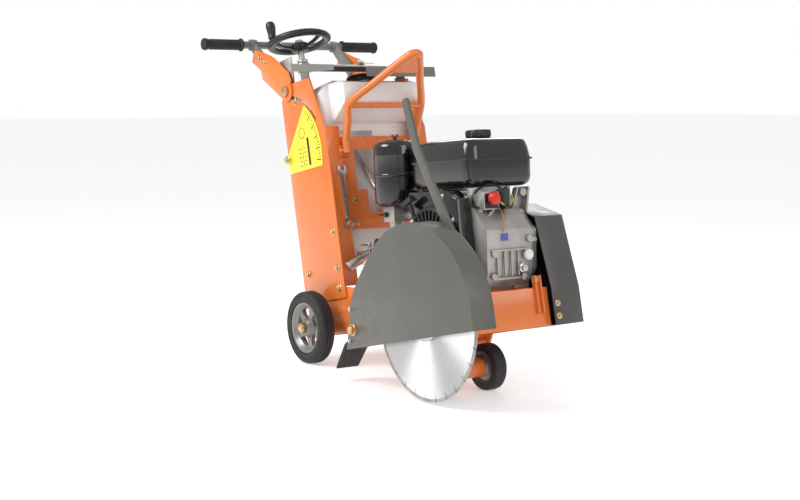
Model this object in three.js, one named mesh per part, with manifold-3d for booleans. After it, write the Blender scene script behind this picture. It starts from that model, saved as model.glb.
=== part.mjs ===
// Walk-behind concrete saw with a petrol engine: a chassis on two rear wheels and a narrow pair of
// front wheels, an upright column with the water tank, a folding handle, a depth spindle, and a
// diamond blade under a lifting guard on the machine's right side.
// Millimetres. +X is the direction of travel, +Y the machine's left, +Z up.
// The machine is modelled level with its chassis, in a "deck" frame whose origin is the middle of the
// rear axle, and that frame is tilted nose up, as the saw stands with its blade lifted off the ground.

import * as THREE from 'three';
import { mergeVertices } from 'three/addons/utils/BufferGeometryUtils.js';
import Module from 'manifold-3d';

const wasm = await Module();
wasm.setup();

// ---------------------------------------------------------------- driving dimensions
const GAP = 0.3;                        // clearance between pieces that touch
const NOSE_UP_DEG = 12.8;               // chassis tilt in the transport position

const PLATE = 5;                        // folded sheet steel of the column
const RAIL = 6;                         // chassis rail plate
const COLUMN_RIGHT_Y = -140;            // outer face of the right column plate
const COLUMN_LEFT_Y = 200;              // outer face of the left column plate
const COLUMN_REAR_X = -92;
const COLUMN_FRONT_X = 121;
const COLUMN_FOOT_Z = 67;
const COLUMN_TOP_Z = 690;
const COLUMN_KINK_Z = COLUMN_TOP_Z - 149;              // above this the front edge leans back
const COLUMN_TOP_FRONT_X = 68;
const FLANGE_FOOT_Z = 97;
const FLANGE_WIDTH = 46;                // inward flange on each column plate's front edge

const RAIL_REAR_X = -95;
const CHASSIS_FRONT_X = 670;
const CHASSIS_BOTTOM_Z = -84;
const CHASSIS_TOP_Z = 14;               // top of the front plate
const ENGINE_BAY_LEFT_Y = 106;          // outer face of the left rail beside the engine
const ENGINE_PITCH_DEG = 8;             // engine rails slope down to the front

const REAR_WHEEL_RADIUS = 100;
const REAR_TYRE_WIDTH = 44;
const REAR_TYRE_FACETS = 36;
const REAR_WHEEL_GAP = 29;              // between a column plate and its rear tyre
const REAR_WHEEL_RIGHT_Y = COLUMN_RIGHT_Y - REAR_WHEEL_GAP - REAR_TYRE_WIDTH;  // outer face of the tyre
const REAR_WHEEL_LEFT_Y = COLUMN_LEFT_Y + REAR_WHEEL_GAP + REAR_TYRE_WIDTH;
const REAR_HUB_RADIUS = 71;
const AXLE_RADIUS = 10;

const FRONT_WHEEL_RADIUS = 59.3;
const FRONT_WHEEL_WIDTH = 38;
const FRONT_WHEEL_FACETS = 28;
const FRONT_WHEEL_X = 542;
const ARM_PIVOT_X = 395;
const ARM_PIVOT_Z = -100;
const ARM_PIVOT_RADIUS = 12;
const ARM_RIGHT_Y = -126;
const ARM_LEFT_Y = -38;

const SHAFT_X = 621;                    // blade shaft centre
const SHAFT_Z = -32;
const ARBOR_RADIUS = 12.7;              // 25.4 mm blade arbor
const SHAFT_RADIUS = 15;
const BLADE_RADIUS = 200;
const BLADE_CORE = 2.8;
const BLADE_SEGMENT = 3.6;
const BLADE_SEGMENTS = 28;
const BLADE_Y = -239;
const FLANGE_RADIUS = 54;

const GUARD_RADIUS = 233;
const GUARD_FACE_Y = -279;
const GUARD_DEPTH = 66;
const GUARD_SHEET = 2.5;
const GUARD_BOTTOM_Z = -78;
const GUARD_REAR_X = 313;
const GUARD_PIVOT_X = 353;
const GUARD_PIVOT_Z = -31;
const GUARD_PIVOT_RADIUS = 8;

const HANDLE_PIVOT_X = -52;
const HANDLE_PIVOT_Z = COLUMN_TOP_Z - 12;
const HANDLEBAR_X = -226;
const HANDLEBAR_Z = HANDLE_PIVOT_Z + 180;
const HANDLEBAR_LENGTH = 600;
const HANDLEBAR_RADIUS = 11;
const GRIP_LENGTH = 126;
const GRIP_RADIUS = 15;
const UPRIGHT_THICK = 8;

const SPINDLE_Y = -50;
const SPINDLE_TILT_DEG = 6;             // the spindle leans back from the column
const HANDWHEEL_X = -104;
const HANDWHEEL_Z = COLUMN_TOP_Z + 148;
const HANDWHEEL_RADIUS = 95;
const SPINDLE_RADIUS = 9;
const SPINDLE_LENGTH = 235;

const LIFT_TUBE_RADIUS = 11;

const ENGINE_PULLEY_RADIUS = 34;
const DRIVEN_PULLEY_RADIUS = 41;
const PULLEY_Y = 150;                   // middle of the belt drive
const PULLEY_WIDTH = 46;
const BELT_THICK = 6;
const BELT_GUARD_LEFT_Y = 198;

const CRANK_X = 20;                     // crankshaft, in the engine's own frame
const CRANK_Z = 118;
const ENGINE_X = 480;                   // engine frame's origin in the deck frame
const RECOIL_Y = -128;                  // face of the recoil starter
const PTO_Y = 104;                      // face of the crankcase cover

// ---------------------------------------------------------------- derived places
const DEG = Math.PI / 180;
// A wheel's height from its centre down to the flat it stands on.
const flatRadius = (radius, facets) => radius * Math.cos(Math.PI / facets);
const FRONT_WHEEL_Z = (flatRadius(FRONT_WHEEL_RADIUS, FRONT_WHEEL_FACETS)
  - flatRadius(REAR_WHEEL_RADIUS, REAR_TYRE_FACETS) - FRONT_WHEEL_X * Math.sin(NOSE_UP_DEG * DEG))
  / Math.cos(NOSE_UP_DEG * DEG);
// Turns a wheel so that one of its flats faces the ground.
const standingTurn = (facets) => (NOSE_UP_DEG - 180 / facets) * DEG;
const CENTRE_Y = (COLUMN_RIGHT_Y + COLUMN_LEFT_Y) / 2;
const RAIL_RIGHT_Y = COLUMN_RIGHT_Y + PLATE + GAP;
const RAIL_LEFT_Y = COLUMN_LEFT_Y - PLATE - GAP;
const ENGINE_DECK_Z = CHASSIS_TOP_Z + (CHASSIS_FRONT_X - ENGINE_X) * Math.tan(ENGINE_PITCH_DEG * DEG);
const SPINDLE_DIR = new THREE.Vector3(-Math.sin(SPINDLE_TILT_DEG * DEG), 0, Math.cos(SPINDLE_TILT_DEG * DEG));

// ---------------------------------------------------------------- materials
const steel = (color, roughness = 0.45, metalness = 0.3) =>
  new THREE.MeshStandardMaterial({ color, roughness, metalness });
const ORANGE = steel(0xd9642c);
const DARK_GREY = steel(0x53504a);
const GUARD_GREY = steel(0x66655c);
const ZINC = steel(0xc8c4b8, 0.35, 0.8);
const ALUMINIUM = steel(0xb4b0a8, 0.5, 0.7);
const BRIGHT_STEEL = steel(0xcfd0d2, 0.25, 0.9);
const BLACK_PLASTIC = steel(0x17171a, 0.5, 0);
const BLACK_PAINT = steel(0x101012, 0.2, 0.2);
const RUBBER = steel(0x202022, 0.85, 0);
const WHITE_PLASTIC = steel(0xe6e2e0, 0.5, 0);
const YELLOW = steel(0xf0e534, 0.5, 0);
const RED = steel(0xd8231e, 0.4, 0);

// ---------------------------------------------------------------- solids
function toManifold(geometry) {
  const bare = geometry.clone();
  bare.deleteAttribute('normal');
  bare.deleteAttribute('uv');
  const merged = mergeVertices(bare, 1e-4);
  return new wasm.Manifold(new wasm.Mesh({
    numProp: 3,
    vertProperties: new Float32Array(merged.attributes.position.array),
    triVerts: new Uint32Array(merged.index.array),
  }));
}

function toGeometry(manifold) {
  const mesh = manifold.getMesh();
  const geometry = new THREE.BufferGeometry();
  geometry.setAttribute('position', new THREE.BufferAttribute(Float32Array.from(mesh.vertProperties), 3));
  geometry.setIndex(new THREE.BufferAttribute(Uint32Array.from(mesh.triVerts), 1));
  return geometry;
}

const join = (first, ...rest) =>
  toGeometry(rest.reduce((sum, next) => sum.add(toManifold(next)), toManifold(first)));
const cut = (body, ...tools) =>
  toGeometry(tools.reduce((left, tool) => left.subtract(toManifold(tool)), toManifold(body)));

// A box between two corners.
function block(x0, x1, y0, y1, z0, z1) {
  const geometry = new THREE.BoxGeometry(x1 - x0, y1 - y0, z1 - z0);
  return geometry.translate((x0 + x1) / 2, (y0 + y1) / 2, (z0 + z1) / 2);
}

const outline = (points) => new THREE.Shape(points.map(([a, b]) => new THREE.Vector2(a, b)));

// A profile drawn in X and Z, extruded across the machine from y0 to y1.
function side(shape, y0, y1, curveSegments = 12) {
  const geometry = new THREE.ExtrudeGeometry(shape, { depth: y1 - y0, bevelEnabled: false, curveSegments });
  return geometry.rotateX(Math.PI / 2).translate(0, y1, 0);
}

// A profile drawn in Y and Z, extruded along the machine from x0 to x1.
function front(shape, x0, x1, curveSegments = 12) {
  const geometry = new THREE.ExtrudeGeometry(shape, { depth: x1 - x0, bevelEnabled: false, curveSegments });
  const axes = new THREE.Matrix4().makeBasis(
    new THREE.Vector3(0, 1, 0), new THREE.Vector3(0, 0, 1), new THREE.Vector3(1, 0, 0));
  return geometry.applyMatrix4(axes).translate(x0, 0, 0);
}

// A profile drawn in X and Y, extruded upwards from z0 to z1.
function plan(shape, z0, z1, curveSegments = 12) {
  const geometry = new THREE.ExtrudeGeometry(shape, { depth: z1 - z0, bevelEnabled: false, curveSegments });
  return geometry.translate(0, 0, z0);
}

// A round bar along Y.
function barY(radius, x, z, y0, y1, segments = 24) {
  const geometry = new THREE.CylinderGeometry(radius, radius, y1 - y0, segments);
  return geometry.translate(x, (y0 + y1) / 2, z);
}

// A round bar along Z, which can taper.
function barZ(radius, x, y, z0, z1, segments = 20, topRadius = radius) {
  const geometry = new THREE.CylinderGeometry(topRadius, radius, z1 - z0, segments);
  return geometry.rotateX(Math.PI / 2).translate(x, y, (z0 + z1) / 2);
}

// A round bar along X.
function barX(radius, y, z, x0, x1, segments = 20) {
  const geometry = new THREE.CylinderGeometry(radius, radius, x1 - x0, segments);
  return geometry.rotateZ(Math.PI / 2).translate((x0 + x1) / 2, y, z);
}

// A round bar from one point to another.
function rod(radius, from, to, segments = 16) {
  const a = new THREE.Vector3(...from);
  const b = new THREE.Vector3(...to);
  const along = b.clone().sub(a);
  const geometry = new THREE.CylinderGeometry(radius, radius, along.length(), segments);
  const turn = new THREE.Quaternion().setFromUnitVectors(new THREE.Vector3(0, 1, 0), along.clone().normalize());
  return geometry.applyQuaternion(turn).translate(...a.add(b).multiplyScalar(0.5).toArray());
}

// A profile of [radius, y] points turned about the Y axis and moved to its place.
function turned(points, x, y, z, segments = 32) {
  const geometry = new THREE.LatheGeometry(points.map(([r, h]) => new THREE.Vector2(r, h)), segments);
  return outward(geometry).translate(x, y, z);
}

// The same, turned about the Z axis.
function turnedZ(points, x, y, z, segments = 32) {
  const geometry = new THREE.LatheGeometry(points.map(([r, h]) => new THREE.Vector2(r, h)), segments);
  return outward(geometry).rotateX(Math.PI / 2).translate(x, y, z);
}

// Turns the faces round if they point inwards.
function outward(geometry) {
  const index = geometry.index.array;
  const place = geometry.attributes.position;
  const [a, b, c] = [new THREE.Vector3(), new THREE.Vector3(), new THREE.Vector3()];
  let volume = 0;
  for (let i = 0; i < index.length; i += 3) {
    a.fromBufferAttribute(place, index[i]);
    b.fromBufferAttribute(place, index[i + 1]);
    c.fromBufferAttribute(place, index[i + 2]);
    volume += a.dot(b.cross(c));
  }
  if (volume < 0) {
    for (let i = 0; i < index.length; i += 3) [index[i], index[i + 1]] = [index[i + 1], index[i]];
  }
  return geometry;
}

// A ring of points for a closed turned profile with rounded outer corners.
const ringProfile = (inner, outer, half, round) => [
  [inner, -half], [outer - round, -half], [outer - round * 0.3, -half + round * 0.3], [outer, -half + round],
  [outer, half - round], [outer - round * 0.3, half - round * 0.3], [outer - round, half], [inner, half],
  [inner, -half],
];

// A round tube bent along a smooth path through straight stretches and rounded corners.
function bentTube(radius, points, bend, sides = 12) {
  const path = new THREE.CurvePath();
  const p = points.map((q) => new THREE.Vector3(...q));
  let from = p[0];
  for (let i = 1; i < p.length - 1; i += 1) {
    const before = p[i].clone().add(p[i - 1].clone().sub(p[i]).setLength(bend));
    const after = p[i].clone().add(p[i + 1].clone().sub(p[i]).setLength(bend));
    path.add(new THREE.LineCurve3(from, before));
    path.add(new THREE.QuadraticBezierCurve3(before, p[i], after));
    from = after;
  }
  path.add(new THREE.LineCurve3(from, p[p.length - 1]));
  const circle = new THREE.Shape();
  circle.absarc(0, 0, radius, 0, Math.PI * 2);
  const steps = Math.max(16, Math.round(path.getLength() / (radius * 3)));
  return new THREE.ExtrudeGeometry(circle, { steps, extrudePath: path, curveSegments: sides / 2, bevelEnabled: false });
}

const bodyGroup = new THREE.Group();

function add(name, geometry, material, group = bodyGroup) {
  const mesh = new THREE.Mesh(geometry, material);
  mesh.name = name;
  group.add(mesh);
  return mesh;
}

// ---------------------------------------------------------------- chassis
const FRONT_PLATE_X = CHASSIS_FRONT_X - RAIL;
const BAY_REAR_X = 150;                 // where the chassis narrows for the engine bay
const RAIL_STEP_X = 290;
const CROSS_MEMBER_X = 215;

function railShape(x0, x1, withColumnSeat) {
  const slopeTop = (x) => CHASSIS_TOP_Z - 8 + (CHASSIS_FRONT_X - x) * Math.tan(ENGINE_PITCH_DEG * DEG);
  const top = withColumnSeat
    ? [[x1, slopeTop(x1)], [RAIL_STEP_X, slopeTop(RAIL_STEP_X)], [COLUMN_FRONT_X, 95], [x0, 95]]
    : [[x1, slopeTop(x1)], [x0, slopeTop(x0)]];
  const bottom = withColumnSeat
    ? [[x0, -30], [160, -30], [RAIL_STEP_X, CHASSIS_BOTTOM_Z], [x1, CHASSIS_BOTTOM_Z]]
    : [[x0, CHASSIS_BOTTOM_Z + 30], [x0 + 140, CHASSIS_BOTTOM_Z], [x1, CHASSIS_BOTTOM_Z]];
  return outline([...bottom, ...top]);
}

// Engine mounting rail: a strip that follows the engine's slope.
function engineRail(y0, y1) {
  const t = Math.tan(ENGINE_PITCH_DEG * DEG);
  const top = (x) => CHASSIS_TOP_Z - GAP + (CHASSIS_FRONT_X - x) * t;
  const [xa, xb] = [CROSS_MEMBER_X, FRONT_PLATE_X + 2];
  return side(outline([[xa, top(xa) - 8], [xb, top(xb) - 8], [xb, top(xb)], [xa, top(xa)]]), y0, y1);
}

const bayRearPlate = block(BAY_REAR_X, BAY_REAR_X + RAIL, RAIL_RIGHT_Y + 1, RAIL_LEFT_Y - 1, -30, 60);
const frontPlate = block(FRONT_PLATE_X, CHASSIS_FRONT_X, RAIL_RIGHT_Y, ENGINE_BAY_LEFT_Y, CHASSIS_BOTTOM_Z,
  CHASSIS_TOP_Z);
const tensionBracket = cut(
  block(CHASSIS_FRONT_X - 1, CHASSIS_FRONT_X + 12, 62, 82, -51, 44),
  block(CHASSIS_FRONT_X + 3, CHASSIS_FRONT_X + 13, 66, 78, -60, 50));
const rearPlate = block(RAIL_REAR_X, RAIL_REAR_X + RAIL, RAIL_RIGHT_Y + 1, RAIL_LEFT_Y - 1, -28, 93);
const rightRail = side(railShape(RAIL_REAR_X, CHASSIS_FRONT_X, true), RAIL_RIGHT_Y, RAIL_RIGHT_Y + RAIL);
const leftRearRail = side(outline([[RAIL_REAR_X, -30], [BAY_REAR_X + RAIL, -30], [BAY_REAR_X + RAIL, 60],
  [COLUMN_FRONT_X, 95], [RAIL_REAR_X, 95]]), RAIL_LEFT_Y - RAIL, RAIL_LEFT_Y);
const leftBayRail = side(railShape(BAY_REAR_X + 1, CHASSIS_FRONT_X, false),
  ENGINE_BAY_LEFT_Y - RAIL, ENGINE_BAY_LEFT_Y);
const armShaft = barY(ARM_PIVOT_RADIUS, ARM_PIVOT_X, ARM_PIVOT_Z, RAIL_RIGHT_Y + 1, ENGINE_BAY_LEFT_Y - 1, 24);
const armLug = (y0) => side(outline([[ARM_PIVOT_X - 22, ARM_PIVOT_Z - 4], [ARM_PIVOT_X - 12, ARM_PIVOT_Z - 20],
  [ARM_PIVOT_X + 12, ARM_PIVOT_Z - 20], [ARM_PIVOT_X + 22, ARM_PIVOT_Z - 4],
  [ARM_PIVOT_X + 40, CHASSIS_BOTTOM_Z + 6], [ARM_PIVOT_X - 40, CHASSIS_BOTTOM_Z + 6]]), y0, y0 + RAIL);
const guardPin = barY(GUARD_PIVOT_RADIUS, GUARD_PIVOT_X, GUARD_PIVOT_Z, GUARD_FACE_Y - 4, RAIL_RIGHT_Y + 1, 24);
const guardPinHead = barY(12, GUARD_PIVOT_X, GUARD_PIVOT_Z, GUARD_FACE_Y - 8, GUARD_FACE_Y - GAP, 6);
const guardPinBoss = barY(20, GUARD_PIVOT_X, GUARD_PIVOT_Z, GUARD_FACE_Y + GUARD_SHEET + GAP, RAIL_RIGHT_Y + 1, 24);
const axleHole = barY(AXLE_RADIUS + GAP, 0, 0, RAIL_RIGHT_Y - 5, RAIL_LEFT_Y + 5, 32);
const axleNotch = block(526, 574, RAIL_RIGHT_Y - 2, RAIL_RIGHT_Y + RAIL + 2, -90, -22);
const shaftHole = barY(SHAFT_RADIUS + 6, SHAFT_X, SHAFT_Z, RAIL_RIGHT_Y - 5, ENGINE_BAY_LEFT_Y + 5, 32);

add('chassis', cut(
  join(rightRail, leftRearRail, leftBayRail, bayRearPlate, frontPlate, tensionBracket, rearPlate, armShaft,
    armLug(RAIL_RIGHT_Y), armLug(ENGINE_BAY_LEFT_Y - RAIL), engineRail(-100, -60), engineRail(40, 80),
    block(CROSS_MEMBER_X, CROSS_MEMBER_X + 25, RAIL_RIGHT_Y + 1, ENGINE_BAY_LEFT_Y - 1, 62, 72),
    guardPin, guardPinHead, guardPinBoss),
  axleHole, shaftHole, axleNotch), ORANGE);

// ---------------------------------------------------------------- column
// Outline of a column plate, seen from the side, with rounded top corners.
function columnShape() {
  return outline([[COLUMN_REAR_X, COLUMN_FOOT_Z], [COLUMN_FRONT_X, COLUMN_FOOT_Z],
    [COLUMN_FRONT_X + 2, 400], [COLUMN_FRONT_X - 3, COLUMN_KINK_Z], [COLUMN_TOP_FRONT_X, COLUMN_TOP_Z],
    [COLUMN_REAR_X + 34, COLUMN_TOP_Z + 6], [COLUMN_REAR_X, 655]]);
}

const SCALE_PIVOT_X = -78;
const SCALE_PIVOT_Z = 484;
const SCALE_RADIUS = 172;

// The arc slot in which the depth scale's stud runs.
function arcSlot(radius, width, fromDeg, toDeg) {
  const shape = new THREE.Shape();
  shape.absarc(0, 0, radius + width / 2, fromDeg * DEG, toDeg * DEG, false);
  shape.absarc(0, 0, radius - width / 2, toDeg * DEG, fromDeg * DEG, true);
  shape.closePath();
  return shape;
}

const scaleSlot = side(arcSlot(SCALE_RADIUS + 5, 9, 28, 80), COLUMN_RIGHT_Y - 3, COLUMN_RIGHT_Y + PLATE + 3, 24)
  .translate(SCALE_PIVOT_X, 0, SCALE_PIVOT_Z);
const flangeRight = block(COLUMN_FRONT_X - PLATE, COLUMN_FRONT_X, COLUMN_RIGHT_Y + 1, COLUMN_RIGHT_Y + FLANGE_WIDTH,
  FLANGE_FOOT_Z, COLUMN_KINK_Z);
const flangeLeft = block(COLUMN_FRONT_X - PLATE, COLUMN_FRONT_X, COLUMN_LEFT_Y - FLANGE_WIDTH, COLUMN_LEFT_Y - 1,
  FLANGE_FOOT_Z, COLUMN_KINK_Z);
const slantFlange = side(outline([[COLUMN_FRONT_X - 8, COLUMN_KINK_Z - 4], [COLUMN_FRONT_X - 3, COLUMN_KINK_Z - 4],
  [COLUMN_TOP_FRONT_X, COLUMN_TOP_Z], [COLUMN_TOP_FRONT_X - PLATE, COLUMN_TOP_Z]]),
COLUMN_LEFT_Y - FLANGE_WIDTH, COLUMN_LEFT_Y - 1);
const SPANNER_Y = -104;
const SPANNER_TOP_Z = 376;
const spannerStud = barX(7, SPANNER_Y, SPANNER_TOP_Z - 108, COLUMN_FRONT_X - 2, COLUMN_FRONT_X + 16, 12);
const handleShaftHole = barY(10 + GAP, HANDLE_PIVOT_X, HANDLE_PIVOT_Z, COLUMN_RIGHT_Y - 3, COLUMN_LEFT_Y + 3, 32);

const rightBracketY = COLUMN_RIGHT_Y - GAP - 5;     // handle brackets, outside the right plate, inside the left
const leftBracketY = 152;
const pivotBolt = (y0, y1) => barY(10, HANDLE_PIVOT_X, HANDLE_PIVOT_Z, y0, y1, 32);
const pivotHead = (y0, y1) => barY(15, HANDLE_PIVOT_X, HANDLE_PIVOT_Z, y0, y1, 6);
const leftPivotStud = join(pivotBolt(leftBracketY - 8, COLUMN_LEFT_Y - 1),
  pivotHead(leftBracketY - 8, leftBracketY - GAP),
  barY(16, HANDLE_PIVOT_X, HANDLE_PIVOT_Z, leftBracketY + 5 + GAP, COLUMN_LEFT_Y - 1, 24));

add('column_plate_right', cut(
  join(side(columnShape(), COLUMN_RIGHT_Y, COLUMN_RIGHT_Y + PLATE), flangeRight, spannerStud),
  scaleSlot, handleShaftHole), ORANGE);
add('column_plate_left', join(side(columnShape(), COLUMN_LEFT_Y - PLATE, COLUMN_LEFT_Y), flangeLeft, slantFlange,
  leftPivotStud), ORANGE);

// The cross plate behind the flanges, with the window for the depth rod.
const CROSS_X = COLUMN_FRONT_X - PLATE - GAP;
const CROSS_TOP_Z = 512;
const WINDOW = { y0: -52, y1: 56, z0: 362, z1: 474 };
const ROD_SLOT = { y0: -22, y1: 22, z0: 296 };
const crossPlate = block(CROSS_X - 4, CROSS_X, COLUMN_RIGHT_Y + PLATE + GAP, COLUMN_LEFT_Y - PLATE - GAP,
  252, CROSS_TOP_Z);
const crossLip = block(CROSS_X - 22, CROSS_X, COLUMN_RIGHT_Y + PLATE + GAP, COLUMN_LEFT_Y - PLATE - GAP,
  CROSS_TOP_Z - 4, CROSS_TOP_Z);
add('column_cross_plate', cut(join(crossPlate, crossLip),
  block(CROSS_X - 30, CROSS_X + 5, WINDOW.y0, WINDOW.y1, WINDOW.z0, WINDOW.z1),
  block(CROSS_X - 30, CROSS_X + 5, ROD_SLOT.y0, ROD_SLOT.y1, ROD_SLOT.z0, WINDOW.z0 + 1)), ORANGE);

// ---------------------------------------------------------------- console over the column
const CONSOLE_SLOPE = -0.27;
const consoleTop = (x) => COLUMN_TOP_Z + 45 + CONSOLE_SLOPE * (x - 40);
const CONSOLE_FRONT_X = 198;
const CONSOLE_REAR_X = -18;
const CONSOLE_RIGHT_Y = COLUMN_RIGHT_Y + 2;
const CONSOLE_LEFT_Y = COLUMN_LEFT_Y + 3;
const consoleSkin = side(outline([[CONSOLE_REAR_X, consoleTop(CONSOLE_REAR_X) - 3],
  [CONSOLE_FRONT_X, consoleTop(CONSOLE_FRONT_X) - 3], [CONSOLE_FRONT_X, consoleTop(CONSOLE_FRONT_X)],
  [CONSOLE_REAR_X, consoleTop(CONSOLE_REAR_X)]]), CONSOLE_RIGHT_Y, CONSOLE_LEFT_Y);
const consoleLip = side(outline([[CONSOLE_FRONT_X - 3, consoleTop(CONSOLE_FRONT_X) - 28],
  [CONSOLE_FRONT_X, consoleTop(CONSOLE_FRONT_X) - 28], [CONSOLE_FRONT_X, consoleTop(CONSOLE_FRONT_X) - 1],
  [CONSOLE_FRONT_X - 3, consoleTop(CONSOLE_FRONT_X) - 1]]), -30, CONSOLE_LEFT_Y);
const consoleEnd = (y0) => side(outline([[CONSOLE_REAR_X, consoleTop(CONSOLE_REAR_X) - 22],
  [COLUMN_TOP_FRONT_X, consoleTop(COLUMN_TOP_FRONT_X) - 22], [CONSOLE_FRONT_X, consoleTop(CONSOLE_FRONT_X) - 12],
  [CONSOLE_FRONT_X, consoleTop(CONSOLE_FRONT_X) - 1], [CONSOLE_REAR_X, consoleTop(CONSOLE_REAR_X) - 1]]),
y0, y0 + 3);
const consoleRear = block(CONSOLE_REAR_X, CONSOLE_REAR_X + 3, CONSOLE_RIGHT_Y, CONSOLE_LEFT_Y, consoleTop(CONSOLE_REAR_X) - 22,
  consoleTop(CONSOLE_REAR_X) - 1);
const consoleBracket = (y0) => block(20, 60, y0, y0 + 3.5, COLUMN_TOP_Z - 40, consoleTop(60) - 2);
add('console', join(consoleSkin, consoleLip, consoleEnd(CONSOLE_RIGHT_Y), consoleEnd(CONSOLE_LEFT_Y - 3), consoleRear,
  consoleBracket(COLUMN_RIGHT_Y + PLATE + GAP), consoleBracket(COLUMN_LEFT_Y - PLATE - GAP - 3.5)), DARK_GREY);

// ---------------------------------------------------------------- water tank
const TANK = { rear: -78, front: 92, right: COLUMN_RIGHT_Y + 12, left: COLUMN_LEFT_Y - 12, foot: 165,
  top: COLUMN_TOP_Z - 14 };
const TANK_CROWN = TANK.top;            // shoulders, nose and recess hang from the crown
const tankShape = new THREE.Shape();
const tankRound = 26;
tankShape.moveTo(TANK.rear, TANK.right + tankRound);
tankShape.quadraticCurveTo(TANK.rear, TANK.right, TANK.rear + tankRound, TANK.right);
tankShape.lineTo(TANK.front - tankRound, TANK.right);
tankShape.quadraticCurveTo(TANK.front, TANK.right, TANK.front, TANK.right + tankRound);
tankShape.lineTo(TANK.front, TANK.left - tankRound);
tankShape.quadraticCurveTo(TANK.front, TANK.left, TANK.front - tankRound, TANK.left);
tankShape.lineTo(TANK.rear + tankRound, TANK.left);
tankShape.quadraticCurveTo(TANK.rear, TANK.left, TANK.rear, TANK.left - tankRound);
const CAP_X = 128;
const CAP_Y = -6;
const CAP_Z = TANK_CROWN - 12;
const tankNose = side(outline([[40, TANK_CROWN - 116], [TANK.front, TANK_CROWN - 124], [168, TANK_CROWN - 76],
  [172, TANK_CROWN - 22], [150, TANK_CROWN - 14], [40, TANK_CROWN - 8]]), TANK.right + 33, TANK.left - 38);
const shoulderRight = front(outline([[TANK.right - 5, TANK_CROWN + 24], [TANK.right - 5, TANK_CROWN - 42],
  [TANK.right + 34, TANK_CROWN - 8], [TANK.right + 60, TANK_CROWN + 4], [TANK.right + 60, TANK_CROWN + 24]]), TANK.rear - 5, 180);
const shoulderLeft = front(outline([[TANK.left + 5, TANK_CROWN + 24], [TANK.left + 5, TANK_CROWN - 36],
  [TANK.left - 30, TANK_CROWN - 8], [TANK.left - 50, TANK_CROWN + 4], [TANK.left - 50, TANK_CROWN + 24]]), TANK.rear - 5, 180);
const spindleTunnel = side(outline([[-95, TANK_CROWN + 44], [2, TANK_CROWN + 44], [22, TANK_CROWN - 56], [98, 525], [98, 325], [22, 425], [-95, 560]]),
  SPINDLE_Y - 36, 34);
const columnSlant = side(outline([[CROSS_X - 24, CROSS_TOP_Z + 4], [190, CROSS_TOP_Z + 4], [190, 540], [94, 540],
  [CROSS_X - 24, 540]]), COLUMN_RIGHT_Y, COLUMN_LEFT_Y);
const slantCut = side(outline([[COLUMN_FRONT_X - 9.5, COLUMN_KINK_Z - 4],
  [COLUMN_TOP_FRONT_X - 6.5, COLUMN_TOP_Z], [COLUMN_TOP_FRONT_X - 6.5, COLUMN_TOP_Z + 30], [240, COLUMN_TOP_Z + 30],
  [240, COLUMN_KINK_Z - 4]]), TANK.left - 36, TANK.left + 12);
const handleRecess = block(-92, -8, TANK.left - 56, TANK.left + 7, TANK_CROWN - 50, TANK_CROWN + 24);
add('water_tank', cut(
  join(plan(tankShape, TANK.foot, TANK.top, 6), tankNose, barZ(26, CAP_X, CAP_Y, CAP_Z - 14, CAP_Z)),
  shoulderRight, shoulderLeft, spindleTunnel, handleRecess, columnSlant, slantCut,
  barZ(43, CAP_X, CAP_Y, CAP_Z, CAP_Z + 46, 24)), WHITE_PLASTIC);
add('tank_cap', turnedZ([[0, GAP], [41, GAP], [41, 12], [37, 18], [0, 18]], CAP_X, CAP_Y, CAP_Z, 28),
  BLACK_PLASTIC);

// ---------------------------------------------------------------- water valve and hose
const VALVE = { x: 148, y: -60, z: 182 };
add('water_valve', join(
  barX(8, VALVE.y, VALVE.z, TANK.front + GAP, VALVE.x + 9, 20),
  rod(9, [VALVE.x, VALVE.y, VALVE.z], [VALVE.x - 9, VALVE.y - 44, VALVE.z - 22]),
  rod(14, [VALVE.x - 6, VALVE.y - 32, VALVE.z - 16], [VALVE.x - 10, VALVE.y - 70, VALVE.z - 35]),
  barZ(5, VALVE.x, VALVE.y, VALVE.z, VALVE.z + 18, 16)), ZINC);
add('valve_lever', join(
  barZ(9, VALVE.x, VALVE.y, VALVE.z + 18 + GAP, VALVE.z + 25, 20),
  block(VALVE.x - 5, VALVE.x + 5, VALVE.y - 26, VALVE.y + 9, VALVE.z + 19, VALVE.z + 23)), BLACK_PLASTIC);
add('water_hose', bentTube(6, [[VALVE.x + 9.5, -60, VALVE.z], [176, -60, VALVE.z], [190, -66, 206], [218, -78, 204], [240, -92, 165],
  [268, -112, 118], [300, -134, 84], [332, -156, 40], [352, -165, 14],
  [GUARD_PIVOT_X, -165, GUARD_PIVOT_Z + 20 + GAP]], 10, 10), RUBBER);

// ---------------------------------------------------------------- lifting frame
const LIFT_FOOT_Y = 116;                // feet either side of the centre plane
const LIFT_APEX_X = 352;
const LIFT_APEX_Z = 690;
const footX = COLUMN_FRONT_X + LIFT_TUBE_RADIUS + 4;
const halfFrame = (s) => [
  [footX, CENTRE_Y + s * LIFT_FOOT_Y, 462], [footX + 2, CENTRE_Y + s * LIFT_FOOT_Y, 500],
  [185, CENTRE_Y + s * (LIFT_FOOT_Y + 4), 592], [LIFT_APEX_X - 22, CENTRE_Y + s * 26, LIFT_APEX_Z - 8]];
const liftPath = [...halfFrame(-1), [LIFT_APEX_X + 6, CENTRE_Y - 10, LIFT_APEX_Z],
  [LIFT_APEX_X + 6, CENTRE_Y + 10, LIFT_APEX_Z], ...halfFrame(1).reverse()];
const liftFoot = (s) => block(COLUMN_FRONT_X + GAP, COLUMN_FRONT_X + 5,
  CENTRE_Y + s * LIFT_FOOT_Y - 18, CENTRE_Y + s * LIFT_FOOT_Y + 18, 456, 486);
const gusset = plan(outline([[LIFT_APEX_X - 66, CENTRE_Y - 50], [LIFT_APEX_X - 4, CENTRE_Y - 12],
  [LIFT_APEX_X - 4, CENTRE_Y + 12], [LIFT_APEX_X - 66, CENTRE_Y + 50]]), -3, 3);
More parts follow.
